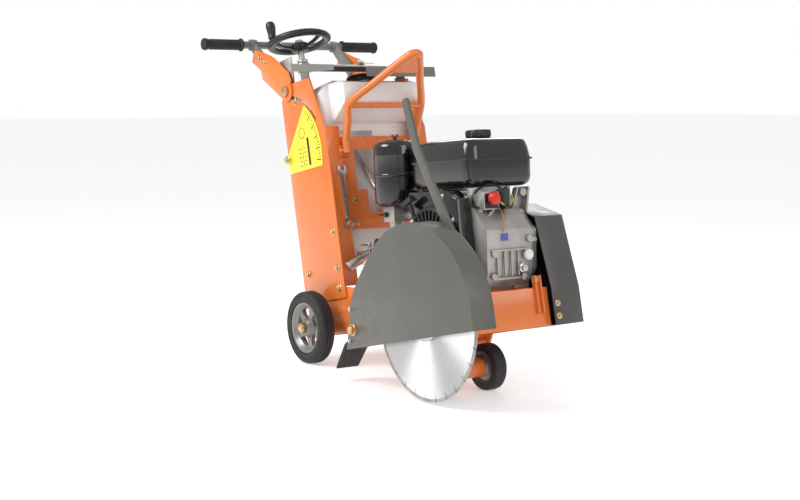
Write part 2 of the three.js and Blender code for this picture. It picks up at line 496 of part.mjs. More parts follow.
gusset.translate(-LIFT_APEX_X, 0, 0).rotateY(-30 * DEG).translate(LIFT_APEX_X, 0, LIFT_APEX_Z - 4);
add('lift_frame', join(bentTube(LIFT_TUBE_RADIUS, liftPath, 14, 10),
  rod(8, [181, CENTRE_Y - LIFT_FOOT_Y - 2, 586], [181, CENTRE_Y + LIFT_FOOT_Y + 2, 586], 12),
  liftFoot(-1), liftFoot(1), gusset), ORANGE);

// ---------------------------------------------------------------- spanner stowed on the column flange
const spannerX = COLUMN_FRONT_X + GAP;
const spannerShape = new THREE.Shape();
spannerShape.moveTo(-5, -88);
spannerShape.lineTo(-6, 34);
spannerShape.lineTo(-14, 44);
spannerShape.lineTo(-13, 60);
spannerShape.lineTo(-6, 62);
spannerShape.lineTo(-6, 48);
spannerShape.lineTo(6, 48);
spannerShape.lineTo(6, 62);
spannerShape.lineTo(13, 60);
spannerShape.lineTo(14, 44);
spannerShape.lineTo(6, 34);
spannerShape.lineTo(5, -88);
const spannerRing = cut(barX(15, 0, -100, 0, 8, 24), barX(7 + GAP, 0, -100, -1, 9, 12));
add('spanner', join(front(spannerShape, 0.5, 6), spannerRing)
  .translate(spannerX, SPANNER_Y, SPANNER_TOP_Z - 8), BRIGHT_STEEL);
// ---------------------------------------------------------------- depth scale
const scaleShape = new THREE.Shape();
scaleShape.moveTo(-12, -40);
scaleShape.lineTo(166, -46);
scaleShape.absarc(0, 0, SCALE_RADIUS, -15 * DEG, 52 * DEG, false);
scaleShape.lineTo(-12, 12);
scaleShape.closePath();
const scalePlate = side(scaleShape, COLUMN_RIGHT_Y - GAP - 2, COLUMN_RIGHT_Y - GAP, 18);
const scaleHub = barY(13, 0, 0, COLUMN_RIGHT_Y - GAP - 6, COLUMN_RIGHT_Y - GAP - 1, 24);
const scaleShaft = barY(5, 0, 0, COLUMN_RIGHT_Y - GAP - 12, COLUMN_RIGHT_Y - GAP - 5, 6);
add('depth_scale', join(scalePlate, scaleHub, scaleShaft).translate(SCALE_PIVOT_X, 0, SCALE_PIVOT_Z), YELLOW);

// ---------------------------------------------------------------- folding handle
function handleBracketShape() {
  const shape = new THREE.Shape();
  shape.moveTo(-226, 806);
  shape.lineTo(-206, 836);
  shape.lineTo(-186, 832);
  shape.lineTo(-102, 790);
  shape.lineTo(-33, 728);
  shape.lineTo(-20, 705);
  shape.absarc(HANDLE_PIVOT_X, HANDLE_PIVOT_Z, 30, 30 * DEG, -110 * DEG, true);
  shape.lineTo(-176, 742);
  shape.lineTo(-180, 770);
  shape.closePath();
  return shape;
}
const bracketHole = barY(10 + GAP, HANDLE_PIVOT_X, HANDLE_PIVOT_Z, -400, 400, 32);
add('handle_bracket_right', cut(side(handleBracketShape(), rightBracketY, rightBracketY + 5), bracketHole), ORANGE);
add('handle_bracket_left', cut(side(handleBracketShape(), leftBracketY, leftBracketY + 5), bracketHole), ORANGE);

// Flat bar from the bracket up to a collar round the handlebar.
function upright(y0) {
  const shape = outline([[-160, 752], [-122, 770], [HANDLEBAR_X + 14, HANDLEBAR_Z + 3],
    [HANDLEBAR_X - 14, HANDLEBAR_Z - 3], [-190, 786]]);
  const collar = barY(HANDLEBAR_RADIUS + 6, HANDLEBAR_X, HANDLEBAR_Z, y0 - 5, y0 + UPRIGHT_THICK + 5, 28);
  const hole = barY(HANDLEBAR_RADIUS + GAP, HANDLEBAR_X, HANDLEBAR_Z, y0 - 9, y0 + UPRIGHT_THICK + 9, 28);
  return cut(join(side(shape, y0, y0 + UPRIGHT_THICK), collar), hole);
}
add('handle_upright_right', upright(rightBracketY + 5 + GAP), DARK_GREY);
add('handle_upright_left', upright(leftBracketY - GAP - UPRIGHT_THICK), DARK_GREY);
add('handlebar', barY(HANDLEBAR_RADIUS, HANDLEBAR_X, HANDLEBAR_Z, -HANDLEBAR_LENGTH / 2 + 5,
  HANDLEBAR_LENGTH / 2 - 5, 28), DARK_GREY);

// Rubber grip, open at its inner end, with a flange at each end.
function grip(s) {
  const outer = HANDLEBAR_LENGTH / 2;
  const inner = outer - GRIP_LENGTH;
  const bore = HANDLEBAR_RADIUS + GAP;
  const profile = [[bore, inner], [GRIP_RADIUS + 4, inner], [GRIP_RADIUS + 4, inner + 5], [GRIP_RADIUS - 1, inner + 8],
    [GRIP_RADIUS, inner + 60], [GRIP_RADIUS - 1, outer - 12], [GRIP_RADIUS + 2, outer - 8],
    [GRIP_RADIUS + 1, outer], [0, outer], [0, outer - 5 + GAP], [bore, outer - 5 + GAP], [bore, inner]];
  return turned(profile.map(([r, h]) => [r, s * h]), HANDLEBAR_X, 0, HANDLEBAR_Z, 16);
}
add('grip_right', grip(-1), RUBBER);
add('grip_left', grip(1), RUBBER);
const BRACKET_Y0 = COLUMN_RIGHT_Y + PLATE + GAP;    // spindle bracket's plate, inside the right column plate
const BRACKET_Y1 = BRACKET_Y0 + 4;
add('handle_pivot_bolt', join(pivotBolt(rightBracketY - 8, BRACKET_Y1 + 7),
  pivotHead(rightBracketY - 8, rightBracketY - GAP),
  pivotHead(BRACKET_Y1 + GAP, BRACKET_Y1 + 7)), ZINC);

// ---------------------------------------------------------------- depth spindle and its rod
// A point on the spindle's axis, a distance below the handwheel's middle.
const onSpindle = (down) => [HANDWHEEL_X - SPINDLE_DIR.x * down, SPINDLE_Y, HANDWHEEL_Z - SPINDLE_DIR.z * down];
const spindleTurn = (geometry) => geometry.rotateY(-SPINDLE_TILT_DEG * DEG)
  .translate(HANDWHEEL_X, SPINDLE_Y, HANDWHEEL_Z);

function handwheelSpoke(angle) {
  const spoke = block(14, HANDWHEEL_RADIUS - 14, -9, 9, -22, -14);
  return spoke.rotateY(-8 * DEG).rotateZ(angle);
}
const rimSection = (r) => {
  const points = [];
  for (let i = 0; i <= 8; i += 1) {
    const a = (i / 8) * Math.PI * 2;
    points.push([HANDWHEEL_RADIUS - r + r * Math.cos(a), r * 0.85 * Math.sin(a)]);
  }
  return points;
};
const wheelRim = turnedZ(rimSection(12), 0, 0, 0, 28);
const wheelHub = turnedZ([[SPINDLE_RADIUS + GAP, -30], [24, -30], [28, -12], [20, -6], [SPINDLE_RADIUS + GAP, -6],
  [SPINDLE_RADIUS + GAP, -30]], 0, 0, 0, 20);
const KNOB_ANGLE = 264 * DEG;
const knobRadius = HANDWHEEL_RADIUS - 13;
const knobAt = [knobRadius * Math.cos(KNOB_ANGLE), knobRadius * Math.sin(KNOB_ANGLE)];
const knobPin = barZ(5, knobAt[0], knobAt[1], 0, 62, 20);
add('handwheel', spindleTurn(join(wheelRim, wheelHub, knobPin,
  handwheelSpoke(KNOB_ANGLE), handwheelSpoke(KNOB_ANGLE + 120 * DEG), handwheelSpoke(KNOB_ANGLE - 120 * DEG))),
BLACK_PLASTIC);
add('crank_knob', spindleTurn(turnedZ([[5 + GAP, 12], [13, 12], [12, 20], [14, 50], [11, 62], [5 + GAP, 62],
  [5 + GAP, 12]], knobAt[0], knobAt[1], 0, 24)), BLACK_PLASTIC);
add('spindle', spindleTurn(join(barZ(SPINDLE_RADIUS, 0, 0, -SPINDLE_LENGTH, 0, 20), barZ(14, 0, 0, -5.5, 4, 6),
  barZ(16, 0, 0, -66, -58, 20))), ZINC);

const BEARING_DOWN = 84;
const bracketPlate = block(-90, -22, BRACKET_Y0, BRACKET_Y1, 640, 772);
const bracketArm = block(-112, -60, BRACKET_Y1 - 1, SPINDLE_Y + 16, 748, 760);
const bracketCup = rod(20, onSpindle(BEARING_DOWN + 14), onSpindle(BEARING_DOWN - 14));
add('spindle_bracket', cut(join(bracketPlate, bracketArm, bracketCup), handleShaftHole,
  rod(SPINDLE_RADIUS + GAP, onSpindle(BEARING_DOWN + 40), onSpindle(BEARING_DOWN - 40), 20)), ZINC);

const NUT_DOWN = 190;
const nutAt = onSpindle(NUT_DOWN);
const ROD_HALF = 12;                    // half the width of the rod's end eyes
const LEVER_X = ARM_PIVOT_X + 5;
const LEVER_Z = ARM_PIVOT_Z + 95;
add('spindle_nut', cut(
  join(rod(17, onSpindle(NUT_DOWN + 18), onSpindle(NUT_DOWN - 18)),
    barY(7, nutAt[0], nutAt[2], SPINDLE_Y + 5, ROD_HALF + 6, 20), barY(11, nutAt[0], nutAt[2], ROD_HALF + GAP, ROD_HALF + 6, 6)),
  rod(SPINDLE_RADIUS + GAP, onSpindle(NUT_DOWN + 40), onSpindle(NUT_DOWN - 40), 20)), ZINC);
add('push_rod', cut(
  join(rod(9, [nutAt[0], 0, nutAt[2]], [LEVER_X, 0, LEVER_Z], 16), barY(15, nutAt[0], nutAt[2], -ROD_HALF, ROD_HALF, 24),
    barY(14, LEVER_X, LEVER_Z, -ROD_HALF, ROD_HALF, 24)),
  barY(7 + GAP, nutAt[0], nutAt[2], -40, 40, 20)), ZINC);

// ---------------------------------------------------------------- throttle lever on the console
const THROTTLE_X = 104;
const THROTTLE_Y = 14;
const throttleBase = consoleTop(THROTTLE_X) + GAP;
const throttleLever = join(
  barZ(9, 0, 0, 0, 14, 20),
  plan(outline([[-7, -6], [10, -8], [60, -5], [62, 5], [10, 8], [-7, 6]]), 6, 9));
add('throttle_lever', throttleLever.rotateY(-CONSOLE_SLOPE).translate(THROTTLE_X, THROTTLE_Y, throttleBase + 0.3), ZINC);

// ---------------------------------------------------------------- blade, shaft and flanges
const onShaft = (geometry) => geometry.translate(SHAFT_X, 0, SHAFT_Z);

// Blade core with a slot between each pair of diamond segments.
function bladeShape(outer, slotDepth) {
  const shape = new THREE.Shape();
  const pitch = (2 * Math.PI) / BLADE_SEGMENTS;
  const half = 1.5 / BLADE_RADIUS;
  for (let i = 0; i < BLADE_SEGMENTS; i += 1) {
    const a0 = i * pitch + half;
    const a1 = (i + 1) * pitch - half;
    if (i === 0) shape.moveTo(outer * Math.cos(a0), outer * Math.sin(a0));
    shape.absarc(0, 0, outer, a0, a1, false);
    const inner = outer - slotDepth;
    shape.lineTo(inner * Math.cos(a1), inner * Math.sin(a1));
    const next = (i + 1) * pitch + half;
    shape.lineTo(inner * Math.cos(next), inner * Math.sin(next));
  }
  shape.closePath();
  return shape;
}
const bladeCore = side(bladeShape(BLADE_RADIUS - 5, 11), BLADE_Y - BLADE_CORE / 2, BLADE_Y + BLADE_CORE / 2, 1);
const segmentRing = cut(
  side(bladeShape(BLADE_RADIUS, 16), BLADE_Y - BLADE_SEGMENT / 2, BLADE_Y + BLADE_SEGMENT / 2, 2),
  barY(BLADE_RADIUS - 12, 0, 0, BLADE_Y - 5, BLADE_Y + 5, 56));
add('blade', onShaft(cut(join(bladeCore, segmentRing),
  barY(ARBOR_RADIUS + GAP, 0, 0, BLADE_Y - 5, BLADE_Y + 5, 32))), BRIGHT_STEEL);

const innerFlangeY = BLADE_Y + BLADE_CORE / 2 + GAP;
const outerFlangeY = BLADE_Y - BLADE_CORE / 2 - GAP;
const SHAFT_LEFT_Y = PULLEY_Y + PULLEY_WIDTH / 2 + 3;
add('blade_shaft', onShaft(turned([[0, -269], [ARBOR_RADIUS, -269], [ARBOR_RADIUS, innerFlangeY],
  [FLANGE_RADIUS, innerFlangeY], [FLANGE_RADIUS, innerFlangeY + 6], [26, innerFlangeY + 12],
  [SHAFT_RADIUS, innerFlangeY + 14], [SHAFT_RADIUS, SHAFT_LEFT_Y], [0, SHAFT_LEFT_Y]], 0, 0, 0, 28)), BRIGHT_STEEL);
add('outer_flange', onShaft(turned([[ARBOR_RADIUS + GAP, outerFlangeY], [FLANGE_RADIUS, outerFlangeY],
  [FLANGE_RADIUS, outerFlangeY - 6], [24, outerFlangeY - 11], [ARBOR_RADIUS + GAP, outerFlangeY - 11],
  [ARBOR_RADIUS + GAP, outerFlangeY]], 0, 0, 0, 28)), BRIGHT_STEEL);
add('arbor_nut', onShaft(cut(barY(21, 0, 0, outerFlangeY - 27, outerFlangeY - 11 - GAP, 6),
  barY(ARBOR_RADIUS + GAP, 0, 0, -300, -200, 32))), ZINC);

// Bearing housings bolted to the rails' inner faces.
function bearing(y0, y1) {
  const foot = side(outline([[-41, -30], [41, -30], [41, 30], [-41, 30]]), y0, y1);
  return onShaft(cut(join(barY(34, 0, 0, y0, y1, 32), foot), barY(SHAFT_RADIUS + GAP, 0, 0, y0 - 3, y1 + 3, 32)));
}
add('bearing_right', bearing(RAIL_RIGHT_Y + RAIL + GAP, RAIL_RIGHT_Y + RAIL + 26), steel(0x3a3a3c, 0.6, 0.4));
add('bearing_left', bearing(ENGINE_BAY_LEFT_Y - RAIL - 26, ENGINE_BAY_LEFT_Y - RAIL - GAP), steel(0x3a3a3c, 0.6, 0.4));

// ---------------------------------------------------------------- belt drive on the left
const pulleyEdge = PULLEY_WIDTH / 2;
// Multi-groove pulley: the grooves are turned into its rim.
function pulleyProfile(outer, bore, y0, y1) {
  const points = [[bore, y0], [outer, y0]];
  const grooves = 2;
  const pitch = (y1 - y0) / grooves;
  for (let i = 0; i < grooves; i += 1) {
    const base = y0 + i * pitch;
    points.push([outer, base + 2.5], [outer - 7, base + pitch / 2 - 1.5], [outer - 7, base + pitch / 2 + 1.5],
      [outer, base + pitch - 2.5]);
  }
  return [...points, [outer, y1], [bore, y1], [bore, y0]];
}
add('driven_pulley', onShaft(turned(
  pulleyProfile(DRIVEN_PULLEY_RADIUS, SHAFT_RADIUS + GAP, PULLEY_Y - pulleyEdge, PULLEY_Y + pulleyEdge), 0, 0, 0, 28)),
steel(0x4a4b4e, 0.5, 0.6));

const pitchCos = Math.cos(ENGINE_PITCH_DEG * DEG);
const pitchSin = Math.sin(ENGINE_PITCH_DEG * DEG);
const crankX = ENGINE_X + CRANK_X * pitchCos + CRANK_Z * pitchSin;
const crankZ = ENGINE_DECK_Z - CRANK_X * pitchSin + CRANK_Z * pitchCos;
add('engine_pulley', turned([[0, PTO_Y + GAP], [12.7, PTO_Y + GAP], [12.7, PULLEY_Y - pulleyEdge],
  ...pulleyProfile(ENGINE_PULLEY_RADIUS, 0, PULLEY_Y - pulleyEdge, PULLEY_Y + pulleyEdge).slice(1, -1)],
crankX, 0, crankZ, 24), steel(0x4a4b4e, 0.5, 0.6));

// Outline of a belt round both pulleys, an offset outside their rims.
function beltShape(offset) {
  const r1 = ENGINE_PULLEY_RADIUS + offset;
  const r2 = DRIVEN_PULLEY_RADIUS + offset;
  const along = Math.atan2(SHAFT_Z - crankZ, SHAFT_X - crankX);
  const span = Math.hypot(SHAFT_X - crankX, SHAFT_Z - crankZ);
  const lean = Math.acos((r1 - r2) / span);
  const shape = new THREE.Shape();
  shape.absarc(crankX, crankZ, r1, along + lean, along - lean + 2 * Math.PI, false);
  shape.absarc(SHAFT_X, SHAFT_Z, r2, along - lean, along + lean, false);
  shape.closePath();
  return shape;
}
add('drive_belt', cut(
  side(beltShape(GAP + BELT_THICK), PULLEY_Y - pulleyEdge + 2, PULLEY_Y + pulleyEdge - 2, 12),
  side(beltShape(GAP), PULLEY_Y - pulleyEdge, PULLEY_Y + pulleyEdge, 12)), RUBBER);

// Sheet cover over the belts, open towards the engine.
function beltGuardShape(inset) {
  return outline([[540 + inset, CHASSIS_BOTTOM_Z + inset], [688 - inset, CHASSIS_BOTTOM_Z + inset], [688 - inset, 8],
    [660 - inset, 194 - inset], [560, 240 - inset], [440 + inset, 240 - inset], [415 + inset, 150]]);
}
const beltGuardInner = ENGINE_BAY_LEFT_Y + GAP;
add('belt_guard', cut(
  side(beltGuardShape(0), beltGuardInner, BELT_GUARD_LEFT_Y),
  side(beltGuardShape(GUARD_SHEET), beltGuardInner - 1, BELT_GUARD_LEFT_Y - GUARD_SHEET)), DARK_GREY);

// ---------------------------------------------------------------- blade guard
// Outline of the guard seen from the side, drawn an inset inside its outer surface.
function guardShape(inset, bottom) {
  const shape = new THREE.Shape();
  const r = GUARD_RADIUS - inset;
  const frontX = SHAFT_X + r;
  shape.moveTo(GUARD_REAR_X + inset + (bottom - GUARD_BOTTOM_Z) * 0.387, bottom);
  shape.lineTo(360 + inset, 43);
  shape.quadraticCurveTo(392 + inset, 88, SHAFT_X + r * Math.cos(133 * DEG), SHAFT_Z + r * Math.sin(133 * DEG));
  shape.absarc(SHAFT_X, SHAFT_Z, r, 133 * DEG, 0, true);
  shape.lineTo(frontX, bottom);
  shape.closePath();
  return shape;
}
const guardShell = cut(
  side(guardShape(0, GUARD_BOTTOM_Z), GUARD_FACE_Y, GUARD_FACE_Y + GUARD_DEPTH, 18),
  side(guardShape(GUARD_SHEET, GUARD_BOTTOM_Z - 20), GUARD_FACE_Y + GUARD_SHEET, GUARD_FACE_Y + GUARD_DEPTH + 5, 18));
const guardCheek = side(outline([[GUARD_REAR_X + 3, GUARD_BOTTOM_Z + 2], [400, GUARD_BOTTOM_Z + 2], [400, 40],
  [385, 70], [361, 42]]), GUARD_FACE_Y + GUARD_DEPTH - 3, GUARD_FACE_Y + GUARD_DEPTH);
const guardHandleY = GUARD_FACE_Y + GUARD_DEPTH - 9;
const guardHandle = side(outline([[726, 150], [752, 158], [656, 378], [634, 498], [630, 506], [618, 506],
  [610, 498], [632, 372]]), guardHandleY, guardHandleY + 9);
add('blade_guard', cut(
  join(guardShell, guardCheek, guardHandle),
  barY(GUARD_PIVOT_RADIUS + GAP, GUARD_PIVOT_X, GUARD_PIVOT_Z, GUARD_FACE_Y - 5, GUARD_FACE_Y + GUARD_SHEET + 5, 24),
  barY(20 + GAP, GUARD_PIVOT_X, GUARD_PIVOT_Z, GUARD_FACE_Y + GUARD_SHEET, GUARD_FACE_Y + GUARD_DEPTH + 5, 24)),
GUARD_GREY);

add('splash_flap', side(outline([[323.2, -50], [317, -66], [300, -75], [241, -123], [237, -119], [292, -62]]),
  GUARD_FACE_Y + 9, GUARD_FACE_Y + GUARD_DEPTH + 9), RUBBER);

// ---------------------------------------------------------------- rear wheels and axle
const axleEnd = 12;
add('rear_axle', join(
  barY(AXLE_RADIUS, 0, 0, REAR_WHEEL_RIGHT_Y - axleEnd, REAR_WHEEL_LEFT_Y + axleEnd, 32),
  barY(15, 0, 0, REAR_WHEEL_RIGHT_Y - axleEnd + 3, REAR_WHEEL_RIGHT_Y - GAP + 3, 6),
  barY(15, 0, 0, REAR_WHEEL_LEFT_Y + GAP - 3, REAR_WHEEL_LEFT_Y + axleEnd - 3, 6)), ZINC);

// Solid rubber tyre and spoked cast hub for one rear wheel; s is +1 on the left, -1 on the right.
function rearWheel(s, outerY, columnY) {
  const middle = outerY - s * (REAR_TYRE_WIDTH / 2);
  const tyre = turned(ringProfile(REAR_HUB_RADIUS + GAP, REAR_WHEEL_RADIUS, REAR_TYRE_WIDTH / 2, 9), 0, 0, 0,
    REAR_TYRE_FACETS).rotateY(standingTurn(REAR_TYRE_FACETS)).translate(0, middle, 0);
  const profile = [[AXLE_RADIUS + GAP, columnY + s * 1.5], [18, columnY + s * 1.5], [18, outerY - s * 38],
    [REAR_HUB_RADIUS, outerY - s * 38], [REAR_HUB_RADIUS, outerY - s * 3], [REAR_HUB_RADIUS - 8, outerY - s * 3],
    [REAR_HUB_RADIUS - 12, outerY - s * 12], [24, outerY - s * 10], [20, outerY - s * 3],
    [AXLE_RADIUS + GAP, outerY - s * 3], [AXLE_RADIUS + GAP, columnY + s * 1.5]];
  const pockets = [];
  for (let i = 0; i < 5; i += 1) {
    const pocket = new THREE.Shape();
    const a = (i / 5) * 2 * Math.PI + 0.3;
    pocket.absarc(0, 0, REAR_HUB_RADIUS - 17, a + 0.22, a + 1.03, false);
    pocket.absarc(0, 0, 32, a + 0.86, a + 0.39, true);
    pocket.closePath();
    const [y0, y1] = [outerY - s * 30, outerY].sort((p, q) => p - q);
    pockets.push(side(pocket, y0, y1, 4));
  }
  return [tyre, cut(turned(profile, 0, 0, 0, 30), ...pockets)];
}
const [tyreRight, hubRight] = rearWheel(-1, REAR_WHEEL_RIGHT_Y, COLUMN_RIGHT_Y);
const [tyreLeft, hubLeft] = rearWheel(1, REAR_WHEEL_LEFT_Y, COLUMN_LEFT_Y);
add('rear_tyre_right', tyreRight, RUBBER);
add('rear_hub_right', hubRight, ALUMINIUM);
add('rear_tyre_left', tyreLeft, RUBBER);
add('rear_hub_left', hubLeft, ALUMINIUM);

// ---------------------------------------------------------------- front arm and wheels
const FRONT_AXLE_RADIUS = 8;
const SPACER_RIGHT = 12;                // gap from the arm to each wheel
const SPACER_LEFT = 6;
function capsule(xa, za, ra, xb, zb, rb) {
  const along = Math.atan2(zb - za, xb - xa);
  const span = Math.hypot(xb - xa, zb - za);
  const lean = Math.acos((ra - rb) / span);
  const shape = new THREE.Shape();
  shape.absarc(xa, za, ra, along + lean, along - lean + 2 * Math.PI, false);
  shape.absarc(xb, zb, rb, along - lean, along + lean, false);
  shape.closePath();
  return shape;
}
const armBody = cut(
  side(capsule(ARM_PIVOT_X, ARM_PIVOT_Z, 22, FRONT_WHEEL_X, FRONT_WHEEL_Z, 24), ARM_RIGHT_Y + 6, ARM_LEFT_Y, 6),
  side(capsule(ARM_PIVOT_X + 40, ARM_PIVOT_Z - 17, 40, FRONT_WHEEL_X - 24, FRONT_WHEEL_Z - 40, 40)
    , ARM_RIGHT_Y + 400, ARM_LEFT_Y + 460, 6));
const LEVER_Y = ROD_HALF + 2;
const armSleeve = barY(20, ARM_PIVOT_X, ARM_PIVOT_Z, ARM_RIGHT_Y + 6, LEVER_Y + 8, 32);
const armLever = side(capsule(ARM_PIVOT_X, ARM_PIVOT_Z, 18, LEVER_X, LEVER_Z, 12), LEVER_Y, LEVER_Y + 6, 6);
const RIGHT_WHEEL_Y = ARM_RIGHT_Y - SPACER_RIGHT - FRONT_WHEEL_WIDTH;
const LEFT_WHEEL_Y = ARM_LEFT_Y + SPACER_LEFT;
const frontAxle = barY(FRONT_AXLE_RADIUS, FRONT_WHEEL_X, FRONT_WHEEL_Z, RIGHT_WHEEL_Y - 7,
  LEFT_WHEEL_Y + FRONT_WHEEL_WIDTH + 6, 24);
const axleSpacers = barY(14, FRONT_WHEEL_X, FRONT_WHEEL_Z, RIGHT_WHEEL_Y + FRONT_WHEEL_WIDTH + GAP, LEFT_WHEEL_Y - GAP, 24);
const axleNut = (y0) => barY(11, FRONT_WHEEL_X, FRONT_WHEEL_Z, y0, y0 + 5, 6);
add('front_arm', cut(
  join(armBody, armSleeve, armLever, frontAxle, axleSpacers,
    axleNut(RIGHT_WHEEL_Y - 5.3), axleNut(LEFT_WHEEL_Y + FRONT_WHEEL_WIDTH + 0.3)),
  barY(ARM_PIVOT_RADIUS + GAP, ARM_PIVOT_X, ARM_PIVOT_Z, -200, 50, 24)), ORANGE);

function frontWheel(y0) {
  const half = FRONT_WHEEL_WIDTH / 2;
  const bore = FRONT_AXLE_RADIUS + GAP;
  const profile = [[bore, -half], [18, -half], [22, -half + 7], [34, -half + 7], [38, -half + 2],
    [FRONT_WHEEL_RADIUS - 6, -half], [FRONT_WHEEL_RADIUS, -half + 6], [FRONT_WHEEL_RADIUS, half - 6],
    [FRONT_WHEEL_RADIUS - 6, half],
    [38, half - 2], [34, half - 7], [22, half - 7], [18, half], [bore, half], [bore, -half]];
  return turned(profile, 0, 0, 0, FRONT_WHEEL_FACETS).rotateY(standingTurn(FRONT_WHEEL_FACETS))
    .translate(FRONT_WHEEL_X, y0 + half, FRONT_WHEEL_Z);
}
add('front_wheel_right', frontWheel(RIGHT_WHEEL_Y), RUBBER);
add('front_wheel_left', frontWheel(LEFT_WHEEL_Y), RUBBER);

// ---------------------------------------------------------------- engine, in its own pitched frame
const engine = new THREE.Group();
engine.position.set(ENGINE_X, 0, ENGINE_DECK_Z);
engine.rotation.y = ENGINE_PITCH_DEG * DEG;
bodyGroup.add(engine);
const onCrank = (geometry) => geometry.translate(CRANK_X, 0, CRANK_Z);

const crankcaseShape = outline([[-92, 8], [150, 8], [168, 40], [172, 150], [120, 206], [-20, 214], [-92, 150]]);
const crankcaseBlock = side(crankcaseShape, -60, PTO_Y - 22);
const sideCover = side(outline([[-80, 20], [140, 20], [160, 50], [164, 146], [112, 196], [-14, 200], [-80, 140]]),
  PTO_Y - 24, PTO_Y);
const INTAKE_X = -186.5;                // face of the intake flange
const INTAKE_Y = -40;
const MUFFLER_FRONT_X = -186;
const TANK_SEAT_Z = 255.6;              // top of the stays that carry the fuel tank
const intake = barX(13, INTAKE_Y, 194, INTAKE_X, -150, 16);
const exhaust = barX(12, 46, 236, MUFFLER_FRONT_X + GAP, -125, 16);
const frontStay = block(90, 97, -50, 80, 190, TANK_SEAT_Z);
const rearStay = block(-60, -30, -40, 60, 195, TANK_SEAT_Z);
const feet = join(block(-100, 150, -98, -58, 0, 9), block(-100, 150, 38, 84, 0, 9));
const switchBox = block(126, 150, -48, 0, 200, 244);
const switchStay = block(108, 132, -48, -38, 150, 240);
const footWeb = block(-90, 140, -60, 82, 0, 10);
const cylinderAxis = [-Math.cos(25 * DEG), Math.sin(25 * DEG)];
const fins = [];
for (let i = 0; i < 6; i += 1) {
  const d = 92 + i * 11;
  const fin = block(-2.5, 2.5, -56, 60, -62, 62).rotateY(25 * DEG);
  fins.push(fin.translate(cylinderAxis[0] * d, 0, cylinderAxis[1] * d + CRANK_Z + 6));
}
const cylinder = rod(46, [-40, 2, CRANK_Z + 18], [cylinderAxis[0] * 152, 2, cylinderAxis[1] * 152 + CRANK_Z + 6], 16);
const head = block(-11, 11, -48, 52, -50, 50).rotateY(25 * DEG)
  .translate(cylinderAxis[0] * 160, 0, cylinderAxis[1] * 160 + CRANK_Z + 6);
add('crankcase', join(crankcaseBlock, sideCover, feet, footWeb, cylinder, head, switchBox, switchStay, intake,
  exhaust, frontStay, rearStay, ...fins), ALUMINIUM, engine);

const shroudShape = new THREE.Shape();
shroudShape.absarc(CRANK_X, CRANK_Z, 104, -160 * DEG, 20 * DEG, false);
shroudShape.lineTo(112, 232);
shroudShape.lineTo(70, 252);
shroudShape.lineTo(-92, 252);
shroudShape.closePath();
add('fan_shroud', side(shroudShape, -104, -60 - GAP, 14), BLACK_PLASTIC, engine);

// Recoil starter cover with radial air slots.
const recoilSlots = [];
for (let i = 0; i < 16; i += 1) {
  const slot = block(52, 86, -2.5, 2.5, -6, 6);
  slot.rotateX(Math.PI / 2).rotateY((i / 16) * 2 * Math.PI).translate(0, RECOIL_Y, 0);
  recoilSlots.push(slot);
}
const recoilBody = turned([[0, -104 - GAP], [98, -104 - GAP], [98, RECOIL_Y + 8], [88, RECOIL_Y], [44, RECOIL_Y],
  [38, RECOIL_Y - 5], [0, RECOIL_Y - 5]], 0, 0, 0, 36);
const gripStem = rod(6, [-45.6, -118, 174.7], [-66.1, -118, 220.3], 12);
add('recoil_cover', join(onCrank(cut(recoilBody, ...recoilSlots)), gripStem), BLACK_PLASTIC, engine);
add('recoil_grip', join(rod(9, [-88, -122, 214], [-48, -122, 232], 16), rod(4, [-68, -122, 223], [-72, -122, 233], 10))
  .translate(-2, 0, 6), BLACK_PLASTIC, engine);

const AIR_X = -216;
const AIR_Y = -52;
add('air_cleaner', join(
  turnedZ([[0, 216], [46, 216], [60, 228], [60, 296], [62, 298], [62, 304], [60, 306], [60, 378], [50, 390], [0, 394]],
    AIR_X, AIR_Y, 0, 28),
  turnedZ([[0, 390], [5, 390], [5, 404], [0, 404]], AIR_X, AIR_Y, 0, 12),
  block(AIR_X - 14, AIR_X + 14, AIR_Y - 3, AIR_Y + 3, 397, 409)), BLACK_PLASTIC, engine);
add('carburetor', join(
  block(AIR_X - 26, AIR_X + 24, AIR_Y - 30, AIR_Y + 22, 176, 216 - GAP),
  barZ(19, AIR_X - 2, AIR_Y - 6, 146, 178, 24),
  barX(13, INTAKE_Y, 194, AIR_X + 10, INTAKE_X - GAP, 16)), ALUMINIUM, engine);
add('choke_lever', join(barY(7, AIR_X - 10, 196, AIR_Y - 38, AIR_Y - 30 - GAP, 16),
  block(AIR_X - 38, AIR_X - 8, AIR_Y - 37, AIR_Y - 34, 193, 199)), BLACK_PLASTIC, engine);
add('muffler', join(block(MUFFLER_FRONT_X - 98, MUFFLER_FRONT_X, 34, 148, 222, 330),
  rod(12, [-262, 147, 300], [-262, 168, 300], 16)), steel(0x3a3734, 0.7, 0.5), engine);

